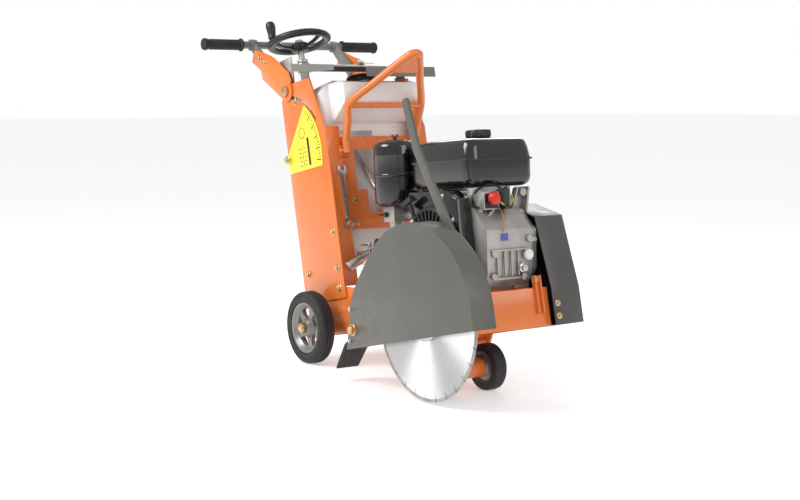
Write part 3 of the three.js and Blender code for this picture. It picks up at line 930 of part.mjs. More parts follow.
// Fuel tank: two pressed halves joined by a flange.
const TANK_BOTTOM = TANK_SEAT_Z + GAP + 10;
const TANK_TOP = 383;
const TANK_SEAM = 326;
function fuelPlan(inset) {
  const shape = new THREE.Shape();
  const [x0, x1, y0, y1, r] = [-146 + inset, 116 - inset, -62 + inset, 150 - inset, 26];
  shape.moveTo(x0 + r, y0);
  shape.lineTo(x1 - r, y0);
  shape.quadraticCurveTo(x1, y0, x1, y0 + r);
  shape.lineTo(x1, y1 - r);
  shape.quadraticCurveTo(x1, y1, x1 - r, y1);
  shape.lineTo(x0 + r, y1);
  shape.quadraticCurveTo(x0, y1, x0, y1 - r);
  shape.lineTo(x0, y0 + r);
  shape.quadraticCurveTo(x0, y0, x0 + r, y0);
  return shape;
}
add('fuel_tank', join(
  plan(fuelPlan(8), TANK_BOTTOM - 10, TANK_BOTTOM + 1, 5),
  plan(fuelPlan(0), TANK_BOTTOM, TANK_TOP - 12, 5),
  plan(fuelPlan(-5), TANK_SEAM - 2, TANK_SEAM + 2, 5),
  plan(fuelPlan(12), TANK_TOP - 13, TANK_TOP, 5)), BLACK_PAINT, engine);
add('fuel_cap', turnedZ([[0, TANK_TOP + GAP], [30, TANK_TOP + GAP], [33, TANK_TOP + 4], [33, TANK_TOP + 18],
  [28, TANK_TOP + 22], [0, TANK_TOP + 22]], 22, 44, 0, 24), BLACK_PLASTIC, engine);

add('engine_switch', turned([[0, 0], [9, 0], [9, 4], [17, 6], [17, 16], [13, 20], [0, 20]], 0, 0, 0, 28)
  .rotateZ(-90 * DEG).translate(150 + GAP, -24, 228), RED, engine);
add('oil_dipstick', turned([[0, 0], [10, 0], [10, 4], [14, 5], [14, 12], [8, 16], [0, 16]], 0, 0, 0, 24)
  .rotateZ(-90 * DEG).translate(170.6, 64, 84), WHITE_PLASTIC, engine);

// ---------------------------------------------------------------- stand the machine on its wheels
const model = new THREE.Group();
bodyGroup.rotation.y = -NOSE_UP_DEG * DEG;
bodyGroup.position.z = REAR_WHEEL_RADIUS;
model.add(bodyGroup);
model.updateMatrixWorld(true);
const bounds = new THREE.Box3().setFromObject(model, true);
model.position.set(-(bounds.min.x + bounds.max.x) / 2, -(bounds.min.y + bounds.max.y) / 2, -bounds.min.z);

export default model;
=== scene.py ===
# Looks for the walk-behind concrete saw: materials on every piece, and detailed meshes in place of the
# plain CAD ones. Most pieces are drawn in the "deck" frame of the machine, in millimetres: its origin is
# the middle of the rear axle, x runs forward along the chassis, z is square to it and y is to the left.
# The engine has a frame of its own, pitched nose down on the deck.
import math

import bmesh
import bpy
from mathutils import Matrix, Vector


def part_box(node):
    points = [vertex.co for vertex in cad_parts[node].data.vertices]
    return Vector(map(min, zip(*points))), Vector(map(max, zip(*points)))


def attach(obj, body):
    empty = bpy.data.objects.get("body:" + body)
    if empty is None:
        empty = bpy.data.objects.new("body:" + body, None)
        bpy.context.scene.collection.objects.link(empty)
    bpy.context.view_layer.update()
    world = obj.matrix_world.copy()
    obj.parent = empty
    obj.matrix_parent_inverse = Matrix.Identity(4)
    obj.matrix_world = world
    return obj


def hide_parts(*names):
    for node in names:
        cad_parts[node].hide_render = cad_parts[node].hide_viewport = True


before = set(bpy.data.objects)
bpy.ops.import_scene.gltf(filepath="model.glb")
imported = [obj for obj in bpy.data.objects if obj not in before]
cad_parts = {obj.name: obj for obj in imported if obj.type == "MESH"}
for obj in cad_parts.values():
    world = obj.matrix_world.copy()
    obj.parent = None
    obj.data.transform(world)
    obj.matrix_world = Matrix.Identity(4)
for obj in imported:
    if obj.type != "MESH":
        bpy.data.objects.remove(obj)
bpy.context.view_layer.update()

# ---------------------------------------------------------------- frames and driving sizes (mm, degrees)
NOSE_UP = 12.8
ENGINE_PITCH = 8.0
ENGINE_AT = (480.0, 0.0, 40.7)
MM = 0.001

BLADE_RADIUS = 200.0
GUARD_RADIUS = 233.0
REAR_RADIUS = 100.0
FRONT_RADIUS = 59.3


def middle_of(node):
    low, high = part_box(node)
    return (low + high) / 2


AXLE = middle_of("rear_axle")
BLADE = middle_of("blade")
DECK = (Matrix.Translation((AXLE.x, 0.0, AXLE.z)) @ Matrix.Rotation(math.radians(-NOSE_UP), 4, "Y")
        @ Matrix.Diagonal((MM, MM, MM, 1.0)))
ENGINE = DECK @ Matrix.Translation(ENGINE_AT) @ Matrix.Rotation(math.radians(ENGINE_PITCH), 4, "Y")
SHAFT = DECK.inverted() @ BLADE          # the blade's middle in the deck frame

# ---------------------------------------------------------------- camera, light and floor
CAMERA_FORWARD, CAMERA_SIDE, CAMERA_HEIGHT = 3.3496, -2.2177, 0.7391      # metres, from the rear axle
CAMERA_DOWN, CAMERA_TURN = 6.2, 55.19                                       # degrees
camera_data = bpy.data.cameras.new("camera")
camera_data.lens = 64.19
camera_data.sensor_width = 36.0
camera_data.clip_end = 100.0
camera = bpy.data.objects.new("camera", camera_data)
camera.location = (AXLE.x + CAMERA_FORWARD, CAMERA_SIDE, CAMERA_HEIGHT)
camera.rotation_euler = (math.radians(90.0 - CAMERA_DOWN), 0.0, math.radians(CAMERA_TURN))
bpy.context.scene.collection.objects.link(camera)
bpy.context.scene.camera = camera

world = bpy.data.worlds.new("studio")
world.use_nodes = True
world.node_tree.nodes["Background"].inputs["Color"].default_value = (1.0, 1.0, 1.0, 1.0)
rays = world.node_tree.nodes.new("ShaderNodeLightPath")
level = world.node_tree.nodes.new("ShaderNodeMapRange")
level.inputs["To Min"].default_value = 0.62      # what lights the saw
level.inputs["To Max"].default_value = 1.0       # what the camera sees behind it
world.node_tree.links.new(rays.outputs["Is Camera Ray"], level.inputs["Value"])
world.node_tree.links.new(level.outputs["Result"], world.node_tree.nodes["Background"].inputs["Strength"])
bpy.context.scene.world = world
bpy.context.scene.view_settings.view_transform = "Standard"


def area_light(name, place, target, size, power):
    data = bpy.data.lights.new(name, "AREA")
    data.shape = "RECTANGLE"
    data.size, data.size_y = size
    data.energy = power
    light = bpy.data.objects.new(name, data)
    light.location = place
    light.rotation_euler = (Vector(target) - Vector(place)).to_track_quat("-Z", "Y").to_euler()
    bpy.context.scene.collection.objects.link(light)


area_light("key_light", (-0.8, -3.2, 3.0), (0.0, 0.0, 0.4), (2.2, 1.6), 110.0)
area_light("front_light", (3.4, 0.6, 2.2), (0.1, 0.0, 0.4), (1.6, 1.6), 22.0)
area_light("rim_light", (-2.6, 2.4, 2.2), (0.0, 0.0, 0.5), (1.6, 1.6), 35.0)


# ---------------------------------------------------------------- materials
def principled(name):
    material = bpy.data.materials.new(name)
    material.use_nodes = True
    nodes = material.node_tree.nodes
    return material, nodes, material.node_tree.links, nodes["Principled BSDF"]


def noise(nodes, links, coordinates, scale, detail=4.0, stretch=(1.0, 1.0, 1.0)):
    mapping = nodes.new("ShaderNodeMapping")
    mapping.inputs["Scale"].default_value = stretch
    links.new(coordinates, mapping.inputs["Vector"])
    node = nodes.new("ShaderNodeTexNoise")
    node.inputs["Scale"].default_value = scale
    node.inputs["Detail"].default_value = detail
    links.new(mapping.outputs["Vector"], node.inputs["Vector"])
    return node.outputs["Fac"]


def spread(nodes, links, value, low, high):
    """Maps a noise value to a range."""
    node = nodes.new("ShaderNodeMapRange")
    node.inputs["From Min"].default_value = 0.3
    node.inputs["From Max"].default_value = 0.7
    node.inputs["To Min"].default_value = low
    node.inputs["To Max"].default_value = high
    links.new(value, node.inputs["Value"])
    return node.outputs["Result"]


def mixed(nodes, links, factor, first, second):
    node = nodes.new("ShaderNodeMix")
    node.data_type = "RGBA"
    links.new(factor, node.inputs[0])
    node.inputs[6].default_value = (*first, 1.0)
    node.inputs[7].default_value = (*second, 1.0)
    return node.outputs[2]


def surface(name, colour, other, rough=(0.3, 0.4), metal=0.0, coat=0.0, bump=0.05, grain=900.0, patch=7.0,
            stretch=(1.0, 1.0, 1.0), through=0.0):
    """A finish with patches of a second colour, varied roughness and a fine grain in its bump."""
    material, nodes, links, shader = principled(name)
    place = nodes.new("ShaderNodeTexCoord").outputs["Object"]
    patches = noise(nodes, links, place, patch, 6.0, stretch)
    fine = noise(nodes, links, place, grain, 3.0, stretch)
    tint = spread(nodes, links, patches, 0.0, 1.0)
    links.new(mixed(nodes, links, tint, colour, other), shader.inputs["Base Color"])
    links.new(spread(nodes, links, noise(nodes, links, place, patch * 6, 5.0, stretch), *rough),
              shader.inputs["Roughness"])
    raised = nodes.new("ShaderNodeBump")
    raised.inputs["Strength"].default_value = bump
    raised.inputs["Distance"].default_value = 0.0006
    links.new(fine, raised.inputs["Height"])
    links.new(raised.outputs["Normal"], shader.inputs["Normal"])
    shader.inputs["Metallic"].default_value = metal
    shader.inputs["Coat Weight"].default_value = coat
    shader.inputs["Coat Roughness"].default_value = 0.12
    if through:
        shader.inputs["Subsurface Weight"].default_value = through
        shader.inputs["Subsurface Radius"].default_value = (0.02, 0.018, 0.016)
    return material


def turned_steel_with_painted_sheen(name):
    """Ground blade steel: fine rings about the blade's middle, and heat tint near the segments. The base
    colour also holds a painted sheen: sectors by angle about the middle, from dull grey to near white,
    painted in for the steel's radial reflection.
    """
    material, nodes, links, shader = principled(name)
    place = nodes.new("ShaderNodeTexCoord").outputs["Object"]
    centred = nodes.new("ShaderNodeVectorMath")
    centred.operation = "SUBTRACT"
    centred.inputs[1].default_value = BLADE
    links.new(place, centred.inputs[0])
    flat = nodes.new("ShaderNodeVectorMath")
    flat.operation = "MULTIPLY"
    flat.inputs[1].default_value = (1.0, 0.0, 1.0)
    links.new(centred.outputs["Vector"], flat.inputs[0])
    length = nodes.new("ShaderNodeVectorMath")
    length.operation = "LENGTH"
    links.new(flat.outputs["Vector"], length.inputs[0])
    rings = noise(nodes, links, length.outputs["Value"], 2600.0, 2.0)
    broad = noise(nodes, links, length.outputs["Value"], 160.0, 3.0)
    split = nodes.new("ShaderNodeSeparateXYZ")
    links.new(flat.outputs["Vector"], split.inputs[0])
    # Painted sheen: the angle about the blade's middle sets bright and dull sectors in the base colour, a
    # painted reflection that turns with the blade.
    angle = nodes.new("ShaderNodeMath")
    angle.operation = "ARCTAN2"
    links.new(split.outputs["Z"], angle.inputs[0])
    links.new(split.outputs["X"], angle.inputs[1])
    sheen_turns = nodes.new("ShaderNodeMath")
    sheen_turns.operation = "MULTIPLY_ADD"
    sheen_turns.inputs[1].default_value = 4.0
    sheen_turns.inputs[2].default_value = 0.35
    links.new(angle.outputs[0], sheen_turns.inputs[0])
    fan = nodes.new("ShaderNodeMath")
    fan.operation = "COSINE"
    links.new(sheen_turns.outputs[0], fan.inputs[0])
    painted_sheen_level = nodes.new("ShaderNodeMapRange")
    painted_sheen_level.interpolation_type = "SMOOTHSTEP"
    painted_sheen_level.inputs["From Min"].default_value = -1.0
    painted_sheen_level.inputs["From Max"].default_value = 1.0
    links.new(fan.outputs[0], painted_sheen_level.inputs["Value"])
    # Painted highlight: near white where the painted sheen is brightest, grey where it is dull.
    painted_sheen_colour = mixed(nodes, links, painted_sheen_level.outputs["Result"], (0.50, 0.50, 0.51), (0.98, 0.98, 0.98))
    grey = nodes.new("ShaderNodeMix")
    grey.data_type = "RGBA"
    grey.blend_type = "MULTIPLY"
    grey.inputs[0].default_value = 0.35
    links.new(painted_sheen_colour, grey.inputs[6])
    links.new(spread(nodes, links, broad, 0.6, 1.0), grey.inputs[7])
    links.new(grey.outputs[2], shader.inputs["Base Color"])
    links.new(spread(nodes, links, rings, 0.24, 0.36), shader.inputs["Roughness"])
    raised = nodes.new("ShaderNodeBump")
    raised.inputs["Strength"].default_value = 0.12
    raised.inputs["Distance"].default_value = 0.0003
    links.new(rings, raised.inputs["Height"])
    links.new(raised.outputs["Normal"], shader.inputs["Normal"])
    shader.inputs["Metallic"].default_value = 1.0
    shader.inputs["Anisotropic"].default_value = 0.75
    tangent = nodes.new("ShaderNodeTangent")
    tangent.direction_type = "RADIAL"
    tangent.axis = "Y"
    links.new(tangent.outputs["Tangent"], shader.inputs["Tangent"])
    return material


ORANGE = surface("orange_paint", (0.80, 0.205, 0.035), (0.72, 0.165, 0.028), (0.24, 0.36), coat=0.35,
                 bump=0.05, grain=700.0)
CONSOLE = surface("console_grey", (0.20, 0.195, 0.18), (0.165, 0.16, 0.145), (0.36, 0.48), bump=0.10,
                  grain=1100.0)
GUARD = surface("guard_grey", (0.118, 0.114, 0.096), (0.100, 0.097, 0.082), (0.34, 0.46), bump=0.10,
                grain=900.0)
BELT_GUARD = surface("belt_guard_grey", (0.085, 0.080, 0.074), (0.065, 0.062, 0.058), (0.30, 0.42), bump=0.10)
ZINC = surface("zinc_plate", (0.66, 0.64, 0.60), (0.52, 0.50, 0.46), (0.28, 0.42), metal=1.0, bump=0.06)
GOLD_ZINC = surface("yellow_zinc", (0.72, 0.52, 0.24), (0.58, 0.44, 0.26), (0.26, 0.40), metal=1.0, bump=0.05,
                    patch=40.0)
STEEL = surface("machined_steel", (0.62, 0.62, 0.63), (0.50, 0.50, 0.51), (0.22, 0.34), metal=1.0, bump=0.05)
SEGMENT = surface("diamond_segment", (0.50, 0.49, 0.46), (0.34, 0.33, 0.31), (0.55, 0.75), metal=0.7,
                  bump=0.5, grain=1400.0, patch=60.0)
DARK_STEEL = surface("dark_steel", (0.045, 0.045, 0.047), (0.075, 0.072, 0.070), (0.38, 0.55), metal=0.8,
                     bump=0.15)
CAST = surface("cast_aluminium", (0.50, 0.48, 0.45), (0.38, 0.37, 0.35), (0.42, 0.60), metal=0.85, bump=0.35,
               grain=500.0, patch=20.0)
HUB = surface("hub_silver", (0.30, 0.295, 0.28), (0.22, 0.215, 0.205), (0.30, 0.44), metal=0.6, bump=0.15,
              grain=600.0)
PLASTIC = surface("black_plastic", (0.008, 0.008, 0.009), (0.014, 0.014, 0.015), (0.34, 0.48), bump=0.10,
                  grain=1300.0)
GLOSS_BLACK = surface("gloss_black_paint", (0.004, 0.004, 0.005), (0.007, 0.007, 0.008), (0.10, 0.18),
                      coat=0.6, bump=0.02)
RUBBER = surface("rubber", (0.010, 0.010, 0.011), (0.018, 0.018, 0.018), (0.62, 0.80), bump=0.25, grain=800.0)
TYRE = surface("tyre_rubber", (0.014, 0.014, 0.015), (0.024, 0.024, 0.023), (0.58, 0.76), bump=0.30,
               grain=500.0)
TANK = surface("tank_plastic", (0.90, 0.88, 0.87), (0.84, 0.82, 0.81), (0.34, 0.46), bump=0.12, grain=400.0,
               through=0.35)
WHITE = surface("white_plastic", (0.80, 0.80, 0.78), (0.72, 0.72, 0.70), (0.28, 0.38), bump=0.05)
YELLOW = surface("yellow_paint", (0.90, 0.80, 0.06), (0.84, 0.72, 0.05), (0.30, 0.42), bump=0.05)
RED = surface("red_plastic", (0.70, 0.02, 0.015), (0.58, 0.015, 0.012), (0.22, 0.32), coat=0.2, bump=0.04)
BLUE_LABEL = surface("plain_blue_plate", (0.10, 0.12, 0.50), (0.08, 0.10, 0.42), (0.25, 0.35), bump=0.03)
RELAY = surface("relay_green", (0.42, 0.46, 0.30), (0.34, 0.38, 0.24), (0.3, 0.4), bump=0.05)
LEAD = surface("lead_yellow", (0.55, 0.50, 0.10), (0.45, 0.40, 0.08), (0.3, 0.4), bump=0.05)
COPPER = surface("lead_copper", (0.50, 0.26, 0.14), (0.42, 0.20, 0.10), (0.3, 0.4), metal=0.5, bump=0.05)
BLADE_STEEL_AND_SHEEN = turned_steel_with_painted_sheen("blade_steel_painted_sheen")


# ---------------------------------------------------------------- mesh helpers
def piece(name, bm, body, material, place=DECK, replaces=(), smooth=35.0, bevel=0.0, steps=2):
    """Makes a piece from a mesh drawn in a frame, in that frame's millimetres, and rides it on a body."""
    bm.transform(place)
    bmesh.ops.recalc_face_normals(bm, faces=bm.faces)
    mesh = bpy.data.meshes.new(name)
    bm.to_mesh(mesh)
    bm.free()
    made = bpy.data.objects.new(name, mesh)
    bpy.context.scene.collection.objects.link(made)
    mesh.materials.append(material)
    finish_edges(made, smooth, bevel, steps)
    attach(made, body)
    if replaces:
        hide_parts(*replaces)
    return made


def finish_edges(made, smooth, bevel, steps=2):
    if bevel:
        rounding = made.modifiers.new("rounding", "BEVEL")
        rounding.width = bevel * MM
        rounding.segments = steps
        rounding.limit_method = "ANGLE"
        rounding.angle_limit = math.radians(28.0)
        rounding.use_clamp_overlap = True
    bpy.context.view_layer.objects.active = made
    made.select_set(True)
    if bevel:
        bpy.ops.object.modifier_apply(modifier="rounding")
    made.select_set(False)
    for face in made.data.polygons:
        face.use_smooth = True
    made.data.set_sharp_from_angle(angle=math.radians(smooth))


def refined(node, body, material, bevel=0.8, smooth=32.0, steps=2):
    """A copy of a CAD node with rounded edges and smooth round faces, in place of the node."""
    bm = bmesh.new()
    bm.from_mesh(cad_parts[node].data)
    bmesh.ops.remove_doubles(bm, verts=bm.verts, dist=2e-6)
    bmesh.ops.dissolve_limit(bm, angle_limit=math.radians(0.6), verts=bm.verts, edges=bm.edges)
    return piece(node + "_finished", bm, body, material, Matrix.Identity(4), (node,), smooth, bevel,
                 steps)


def joined(parts):
    """One bmesh from several."""
    whole = bmesh.new()
    for part in parts:
        mesh = bpy.data.meshes.new("part")
        part.to_mesh(mesh)
        part.free()
        whole.from_mesh(mesh)
        bpy.data.meshes.remove(mesh)
    return whole


def turning(axis):
    """Takes a shape made about Z to the axis named."""
    return {"Z": Matrix.Identity(4), "Y": Matrix.Rotation(math.radians(-90), 4, "X"),
            "X": Matrix.Rotation(math.radians(90), 4, "Y")}[axis]


def lathe(profile, at, axis="Y", segments=72, wave=None):
    """Turns a closed profile of (radius, along) points about an axis; wave can vary the radius."""
    bm = bmesh.new()
    rings = []
    for i in range(segments):
        angle = 2 * math.pi * i / segments
        ring = []
        for radius, along in profile:
            r = wave(angle, radius, along) if wave else radius
            ring.append(bm.verts.new((r * math.cos(angle), r * math.sin(angle), along)))
        rings.append(ring)
    count = len(profile)
    for i in range(segments):
        a, b = rings[i], rings[(i + 1) % segments]
        for j in range(count):
            k = (j + 1) % count
            bm.faces.new((a[j], b[j], b[k], a[k]))
    bmesh.ops.remove_doubles(bm, verts=bm.verts, dist=1e-4)
    bm.transform(Matrix.Translation(at) @ turning(axis))
    return bm


def tube(points, radius, sides=16, smooth=6):
    """A round tube along a smooth curve through the points."""
    path = [Vector(p) for p in points]
    curve = []
    for i in range(len(path) - 1):
        before = path[max(i - 1, 0)]
        after = path[min(i + 2, len(path) - 1)]
        for step in range(smooth):
            t = step / smooth
            a = path[i]
            b = path[i + 1]
            curve.append(0.5 * ((2 * a) + (b - before) * t + (2 * before - 5 * a + 4 * b - after) * t * t
                                + (3 * a - before - 3 * b + after) * t ** 3))
    curve.append(path[-1])
    bm = bmesh.new()
    normal = None
    rings = []
    for i, here in enumerate(curve):
        along = (curve[min(i + 1, len(curve) - 1)] - curve[max(i - 1, 0)]).normalized()
        if normal is None:
            normal = along.orthogonal().normalized()
        normal = (normal - along * normal.dot(along)).normalized()
        other = along.cross(normal)
        rings.append([bm.verts.new(here + radius * (math.cos(2 * math.pi * k / sides) * normal
                                                   + math.sin(2 * math.pi * k / sides) * other))
                      for k in range(sides)])
    for a, b in zip(rings, rings[1:]):
        for k in range(sides):
            bm.faces.new((a[k], a[(k + 1) % sides], b[(k + 1) % sides], b[k]))
    bm.faces.new(rings[0])
    bm.faces.new(rings[-1])
    return bm


def prism(outline, low, high, axis="Y"):
    """An outline of two coordinates, extruded along the third."""
    order = {"Y": lambda a, b, c: (a, c, b), "Z": lambda a, b, c: (a, b, c), "X": lambda a, b,
             c: (c, a, b)}[axis]
    bm = bmesh.new()
    bottom = [bm.verts.new(order(a, b, low)) for a, b in outline]
    top = [bm.verts.new(order(a, b, high)) for a, b in outline]
    bm.faces.new(bottom)
    bm.faces.new(top)
    for i in range(len(outline)):
        j = (i + 1) % len(outline)
        bm.faces.new((bottom[i], bottom[j], top[j], top[i]))
    return bm


def cuboid(x0, x1, y0, y1, z0, z1):
    return prism([(x0, y0), (x1, y0), (x1, y1), (x0, y1)], z0, z1, "Z")


def hexagon(radius):
    return [(radius * math.cos(math.radians(60 * i)),
             radius * math.sin(math.radians(60 * i))) for i in range(6)]


def bolt(at, axis, radius=8.0, sign=1, washer=True):
    """A hexagon bolt head with its washer, standing on a face at a point; sign is the way it stands out."""
    parts = []
    base = 0.0
    if washer:
        parts.append(lathe([(0.1, 0.0), (radius * 1.35, 0.0), (radius * 1.45, 0.6), (radius * 1.35, 1.6),
                            (0.1, 1.6)],
                           (0, 0, 0), "Z", 28))
        base = 1.5
    parts.append(prism(hexagon(radius), base, base + radius * 0.68, "Z"))
    parts.append(lathe([(0.1, base + radius * 0.6), (radius * 0.80, base + radius * 0.6),
                        (radius * 0.72, base + radius * 0.80), (0.1, base + radius * 0.80)], (0, 0, 0), "Z",
                        24))
    whole = joined(parts)
    flip = Matrix.Rotation(math.pi, 4, "X") if sign < 0 else Matrix.Identity(4)
    whole.transform(Matrix.Translation(at) @ turning(axis) @ flip)
    return whole


def bolts(name, places, axis, body, material, radius=8.0, sign=1, place=DECK, washer=True):
    whole = joined([bolt(at, axis, radius, sign, washer) for at in places])
    return piece(name, whole, body, material, place, smooth=30.0, bevel=0.35, steps=1)




# ---------------------------------------------------------------- sheet metal and castings from the CAD
def finish_nodes(names, body, material, bevel=0.8, smooth=32.0, steps=2):
    for name in names:
        refined(name, body, material, bevel, smooth, steps)


finish_nodes(("chassis", "column_plate_right", "column_plate_left", "column_cross_plate"), "frame", ORANGE,
             0.9)
finish_nodes(("handle_bracket_right", "handle_bracket_left"), "handle", ORANGE, 0.7)
finish_nodes(("front_arm",), "front_arm", ORANGE, 0.9)
finish_nodes(("console",), "frame", CONSOLE, 0.8)
finish_nodes(("handle_upright_right", "handle_upright_left"), "handle", CONSOLE, 0.8)
finish_nodes(("belt_guard",), "frame", BELT_GUARD, 1.0)
finish_nodes(("spindle_bracket", "water_valve"), "frame", ZINC, 0.5)
finish_nodes(("handle_pivot_bolt",), "frame", GOLD_ZINC, 0.6)
finish_nodes(("spindle_nut",), "spindle_nut", ZINC, 0.5)
finish_nodes(("push_rod",), "push_rod", ZINC, 0.5, 40.0)
finish_nodes(("throttle_lever",), "throttle_lever_set", ZINC, 0.4)
finish_nodes(("valve_lever",), "valve_lever_set", ZINC, 0.5)
finish_nodes(("spanner",), "frame", STEEL, 0.8)
finish_nodes(("bearing_right", "bearing_left", "muffler"), "frame", DARK_STEEL, 0.9)
finish_nodes(("crankcase",), "frame", CAST, 1.2)
finish_nodes(("carburetor",), "frame", CAST, 0.9)
finish_nodes(("fan_shroud",), "frame", GLOSS_BLACK, 4.0, 40.0, 3)
finish_nodes(("choke_lever",), "choke_lever_set", PLASTIC, 0.5)
finish_nodes(("water_tank",), "frame", TANK, 7.0, 50.0, 3)
finish_nodes(("depth_scale",), "depth_scale", YELLOW, 0.3)
finish_nodes(("splash_flap",), "guard", RUBBER, 0.8)
finish_nodes(("drive_belt",), "frame", RUBBER, 0.5, 50.0)
finish_nodes(("driven_pulley",), "blade_set", DARK_STEEL, 0.5, 50.0)
finish_nodes(("engine_pulley",), "engine_pulley_set", DARK_STEEL, 0.5, 50.0)
finish_nodes(("blade_shaft", "outer_flange"), "blade_set", STEEL, 0.5, 40.0)
finish_nodes(("arbor_nut",), "blade_set", GOLD_ZINC, 0.6)
finish_nodes(("rear_axle",), "frame", GOLD_ZINC, 0.6, 40.0)


# ---------------------------------------------------------------- blade
def blade_outline(radius, segments, slot_depth, slot_width, arc_steps):
    points = []
    pitch = 2 * math.pi / segments
    half = slot_width / 2 / radius
    inner = radius - slot_depth
    for i in range(segments):
        start, stop = i * pitch + half, (i + 1) * pitch - half
        for k in range(arc_steps + 1):
            a = start + (stop - start) * k / arc_steps
            points.append((radius * math.cos(a), radius * math.sin(a)))
        points.append((inner * math.cos(stop), inner * math.sin(stop)))
        middle = (i + 1) * pitch
        points.append(((inner - 1.4) * math.cos(middle), (inner - 1.4) * math.sin(middle)))
        points.append((inner * math.cos(middle + half), inner * math.sin(middle + half)))
    return points


AT_SHAFT = DECK @ Matrix.Translation((SHAFT.x, 0.0, SHAFT.z))
BLADE_Y = SHAFT.y
core = prism(blade_outline(BLADE_RADIUS - 7, 28, 10.0, 3.0, 4), BLADE_Y - 1.4, BLADE_Y + 1.4)
piece("blade_core", core, "blade_set", BLADE_STEEL_AND_SHEEN, AT_SHAFT, ("blade",), 25.0)
segments = []
for i in range(28):
    pitch = 2 * math.pi / 28
    gap = 1.6 / BLADE_RADIUS
    a0, a1 = i * pitch + gap, (i + 1) * pitch - gap
    arc = [a0 + (a1 - a0) * k / 5 for k in range(6)]
    rim = [(BLADE_RADIUS * math.cos(a), BLADE_RADIUS * math.sin(a)) for a in arc]
    foot = [((BLADE_RADIUS - 8) * math.cos(a), (BLADE_RADIUS - 8) * math.sin(a)) for a in reversed(arc)]
    segments.append(prism(rim + foot, BLADE_Y - 1.8, BLADE_Y + 1.8))
piece("blade_segments", joined(segments), "blade_set", SEGMENT, AT_SHAFT, smooth=25.0)


# ---------------------------------------------------------------- blade guard
GUARD_FACE_Y = -279.0
GUARD_DEPTH = 66.0
GUARD_BOTTOM = -78.0


def guard_outline(inset):
    radius = GUARD_RADIUS - inset
    rear = [(313.0 + inset, GUARD_BOTTOM), (358.0 + inset, 39.0)]
    start = (360.0 + inset, 43.0)
    control = (392.0 + inset, 88.0)
    first = math.radians(133.0)
    end = (SHAFT.x + radius * math.cos(first), SHAFT.z + radius * math.sin(first))
    bend = [tuple((1 - t) ** 2 * s + 2 * t * (1 - t) * c + t * t * e for s, c, e in zip(start, control, end))
            for t in (k / 10 for k in range(10))]
    arc = [(SHAFT.x + radius * math.cos(first * (1 - k / 64)),
            SHAFT.z + radius * math.sin(first * (1 - k / 64)))
           for k in range(65)]
    return [*rear, *bend, *arc, (SHAFT.x + radius, GUARD_BOTTOM)]


def sheet_guard(thick):
    """Face and rim of the guard as one folded sheet, rounded where the face meets the rim; the rolled edge on
    the open side is the rim_strip tube joined to it.
    """
    outer, inner = guard_outline(0.0), guard_outline(thick)
    low, high = GUARD_FACE_Y, GUARD_FACE_Y + GUARD_DEPTH
    bm = bmesh.new()
    rings = [[bm.verts.new((x, y, z)) for x, z in points]
             for points, y in ((outer, high), (outer, low + 2.0), (guard_outline(0.6), low + 0.6),
                               (guard_outline(2.0), low), (inner, low + thick), (inner, high))]
    for a, b in ((0, 1), (1, 2), (2, 3), (4, 5), (5, 0)):
        for i in range(len(outer) - 1):
            bm.faces.new((rings[a][i], rings[a][i + 1], rings[b][i + 1], rings[b][i]))
    bm.faces.new(rings[3])
    bm.faces.new(rings[4])
    for end in (0, -1):
        bm.faces.new([ring[end] for ring in rings])
    bm.faces.new((rings[3][0], rings[3][-1], rings[4][-1], rings[4][0]))
    return bm


guard_bar = prism([(726, 150), (752, 158), (656, 378), (634, 498), (630, 506), (618, 506), (610, 498),
                   (632, 372)],
                  GUARD_FACE_Y + GUARD_DEPTH - 9, GUARD_FACE_Y + GUARD_DEPTH)
rim_strip = tube([(x, GUARD_FACE_Y + GUARD_DEPTH - 1.5, z) for x, z in guard_outline(1.5)[12:77:4]], 2.4, 10,
                 4)
piece("guard_shell", joined([sheet_guard(2.5), rim_strip]), "guard", GUARD,
      replaces=("blade_guard",), smooth=32.0)
piece("guard_lift_bar", guard_bar, "guard", GUARD, smooth=30.0, bevel=1.6, steps=3)
piece("guard_cheek", prism([(316, -76), (400, -76), (400, 40), (385, 70), (361, 42)], -216.0, -213.0),
      "guard", GUARD,
      smooth=30.0, bevel=0.6)
bolts("guard_pivot_bolt", [(353, GUARD_FACE_Y - 0.3, -31)], "Y", "guard", GOLD_ZINC, 11.0, -1)
bolts("flap_screws", [(352, GUARD_FACE_Y - 0.2, 22), (334, GUARD_FACE_Y - 0.2, -58)], "Y", "guard", ZINC,
      4.0, -1)


